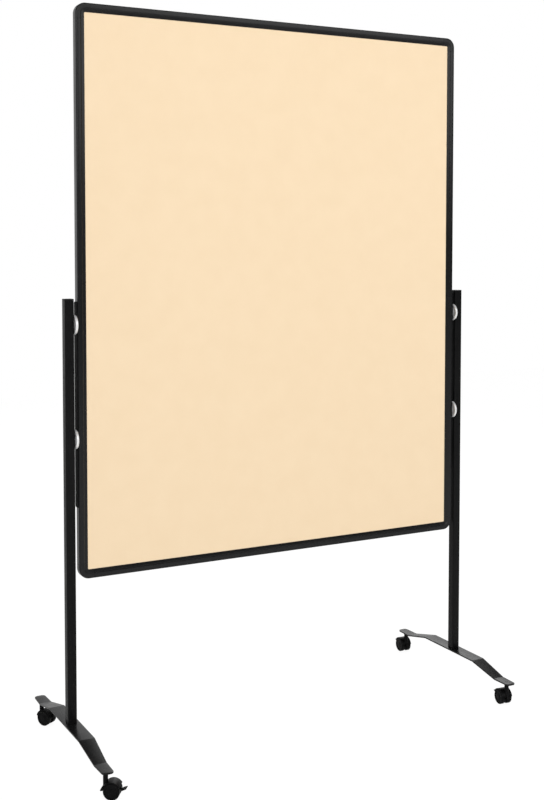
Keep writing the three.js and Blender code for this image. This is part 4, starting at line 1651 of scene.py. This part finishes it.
@dataclass(frozen=True)
class Lamp:
    """Square soft lamp, placed from the floor under the board. In metres and watts."""

    name: str
    offset: Point
    aim: Point
    size: float
    power: float

    def hang(self, centre: Vector) -> None:
        """Hang the lamp.

        Args:
            centre: Point on the floor under the middle of the board.
        """
        data = bpy.data.lights.new(self.name, "AREA")
        data.size, data.energy = self.size, self.power
        lamp = link(self.name, data)
        lamp.location = centre + Vector(self.offset)
        facing = Vector(self.aim) - Vector(self.offset)
        lamp.rotation_euler = facing.to_track_quat("-Z", "Y").to_euler()


LAMPS = (
    Lamp("key", (-1.2, -5.4, 3.2), (0, 0, 0.6), 3.0, 108.0),
    Lamp("fill", (2.3, -4.2, 3.3), (0, 0, 1.3), 3.0, 56.0),
    Lamp("side", (-4.0, 0.6, 2.2), (0, 0, 1.0), 2.4, 24.0),
    Lamp("rear", (2.6, 3.6, 3.0), (0, 0, 1.0), 2.4, 50.0),
)


@dataclass
class Studio:
    """Camera, floor, backdrop and lamps. Lengths in metres, angles in degrees.

    The camera stands at its offset from the point on the floor under the middle
    of the board.
    """

    camera_offset: Point = (-1.6146, -2.9553, 1.3579)
    yaw: float = 27.8575
    pitch: float = 2.7687
    image: tuple[int, int] = (544, 800)
    focal_px: float = 1188.69
    axis_px: Range = (262.32, 299.84)
    sensor_mm: float = 36.0
    sight: float = 100.0
    reach: float = 14.0
    wall_distance: float = 7.0
    wall_height: float = 5.2
    pale_grey: float = 0.8
    pale_roughness: float = 0.9
    room_light: float = 0.55
    room_gloss: float = 0.10

    def __post_init__(self) -> None:
        """Find the point on the floor under the middle of the board."""
        board = middle("panel_core")
        self.centre = Vector((board.x, board.y, 0))

    def camera(self) -> None:
        """Set the camera at the angle of the photograph."""
        data = bpy.data.cameras.new("camera")
        longest = max(self.image)
        data.sensor_width = self.sensor_mm
        data.lens = self.sensor_mm * self.focal_px / longest
        data.shift_x = (self.image[0] / 2 - self.axis_px[0]) / longest
        data.shift_y = (self.axis_px[1] - self.image[1] / 2) / longest
        data.clip_end = self.sight
        camera = link("camera", data)
        camera.location = self.centre + Vector(self.camera_offset)
        camera.rotation_euler = (math.radians(90 - self.pitch), 0, math.radians(-self.yaw))
        bpy.context.scene.camera = camera

    def pale(self, name: str, share: float, glow: float, gloss: float) -> bpy.types.Material:
        """Pale matt material that shows mostly white to the camera and to gloss.

        Args:
            name: Name of the material.
            share: Share of plain white light seen by camera rays.
            glow: Strength of that light.
            gloss: Share of that light seen by gloss rays.

        Returns:
            The material.
        """
        graph = NodeGraph(name)
        graph.fit(Base_Color=(*[self.pale_grey] * 3, 1), Roughness=self.pale_roughness)
        rays = graph.add("LightPath").outputs
        seen = graph.add("Math", {0: rays["Is Camera Ray"], 1: share}, operation="MULTIPLY")
        shine = graph.add("Math", {0: rays["Is Glossy Ray"], 1: gloss}, operation="MULTIPLY")
        both = {0: seen.outputs[0], 1: shine.outputs[0]}
        either = graph.add("Math", both, operation="MAXIMUM")
        white = graph.add("Emission", {"Strength": glow})
        matt, light = graph.shader.outputs["BSDF"], white.outputs["Emission"]
        mix = graph.add("MixShader", {"Fac": either.outputs[0], 1: matt, 2: light})
        output = next(node for node in graph.nodes if node.type == "OUTPUT_MATERIAL")
        graph.feed(output.inputs["Surface"], mix.outputs["Shader"])
        return graph.material

    def sheet(self, name: str, corners: Sequence[Point], material: bpy.types.Material) -> None:
        """Make one flat sheet of the stage.

        Args:
            name: Name of the sheet.
            corners: Its corners in order, in metres.
            material: Its material.
        """
        mesh = bpy.data.meshes.new(name)
        mesh.from_pydata(corners, [], [tuple(range(len(corners)))])
        mesh.materials.append(material)
        link(name, mesh)

    def room(self) -> None:
        """Lay the floor and hang the backdrop."""
        far, wall, top = self.reach, self.wall_distance, self.wall_height
        ground = [(-far, -far, 0), (far, -far, 0), (far, far, 0), (-far, far, 0)]
        behind = [(-far, wall, 0), (far, wall, 0), (far, wall, top), (-far, wall, top)]
        floor = self.pale("pale_floor", share=0.85, glow=1.10, gloss=0.2)
        self.sheet("floor", ground, floor)
        backdrop = self.pale("pale_backdrop", share=1.0, glow=1.0, gloss=1.0)
        self.sheet("backdrop", behind, backdrop)

    def world(self) -> None:
        """Light the room evenly, white to the camera and dim in gloss."""
        world = bpy.data.worlds.new("studio")
        world.use_nodes = True
        nodes, links = world.node_tree.nodes, world.node_tree.links
        shade = nodes["Background"]
        shade.inputs["Color"].default_value = (1, 1, 1, 1)
        path = nodes.new("ShaderNodeLightPath")
        to_camera = nodes.new("ShaderNodeMapRange")
        to_camera.inputs["To Min"].default_value = self.room_light
        to_camera.inputs["To Max"].default_value = 1.0
        to_gloss = nodes.new("ShaderNodeMapRange")
        to_gloss.inputs["To Max"].default_value = self.room_gloss
        links.new(path.outputs["Is Camera Ray"], to_camera.inputs["Value"])
        links.new(path.outputs["Is Glossy Ray"], to_gloss.inputs["Value"])
        links.new(to_camera.outputs["Result"], to_gloss.inputs["To Min"])
        links.new(to_gloss.outputs["Result"], shade.inputs["Strength"])
        bpy.context.scene.world = world

    def build(self) -> None:
        """Set up the studio."""
        self.camera()
        self.room()
        self.world()
        for lamp in LAMPS:
            lamp.hang(self.centre)
        bpy.context.scene.view_settings.view_transform = "Standard"


def main() -> None:
    """Build the studio and every sub-assembly in order."""
    logging.basicConfig(level=logging.INFO, format="%(name)s: %(message)s")
    Studio().build()
    Board().build()
    for side in Side:
        StandSide(side).build()
    for corner in Corner:
        Caster(corner).build()


if __name__ == "__main__":
    main()
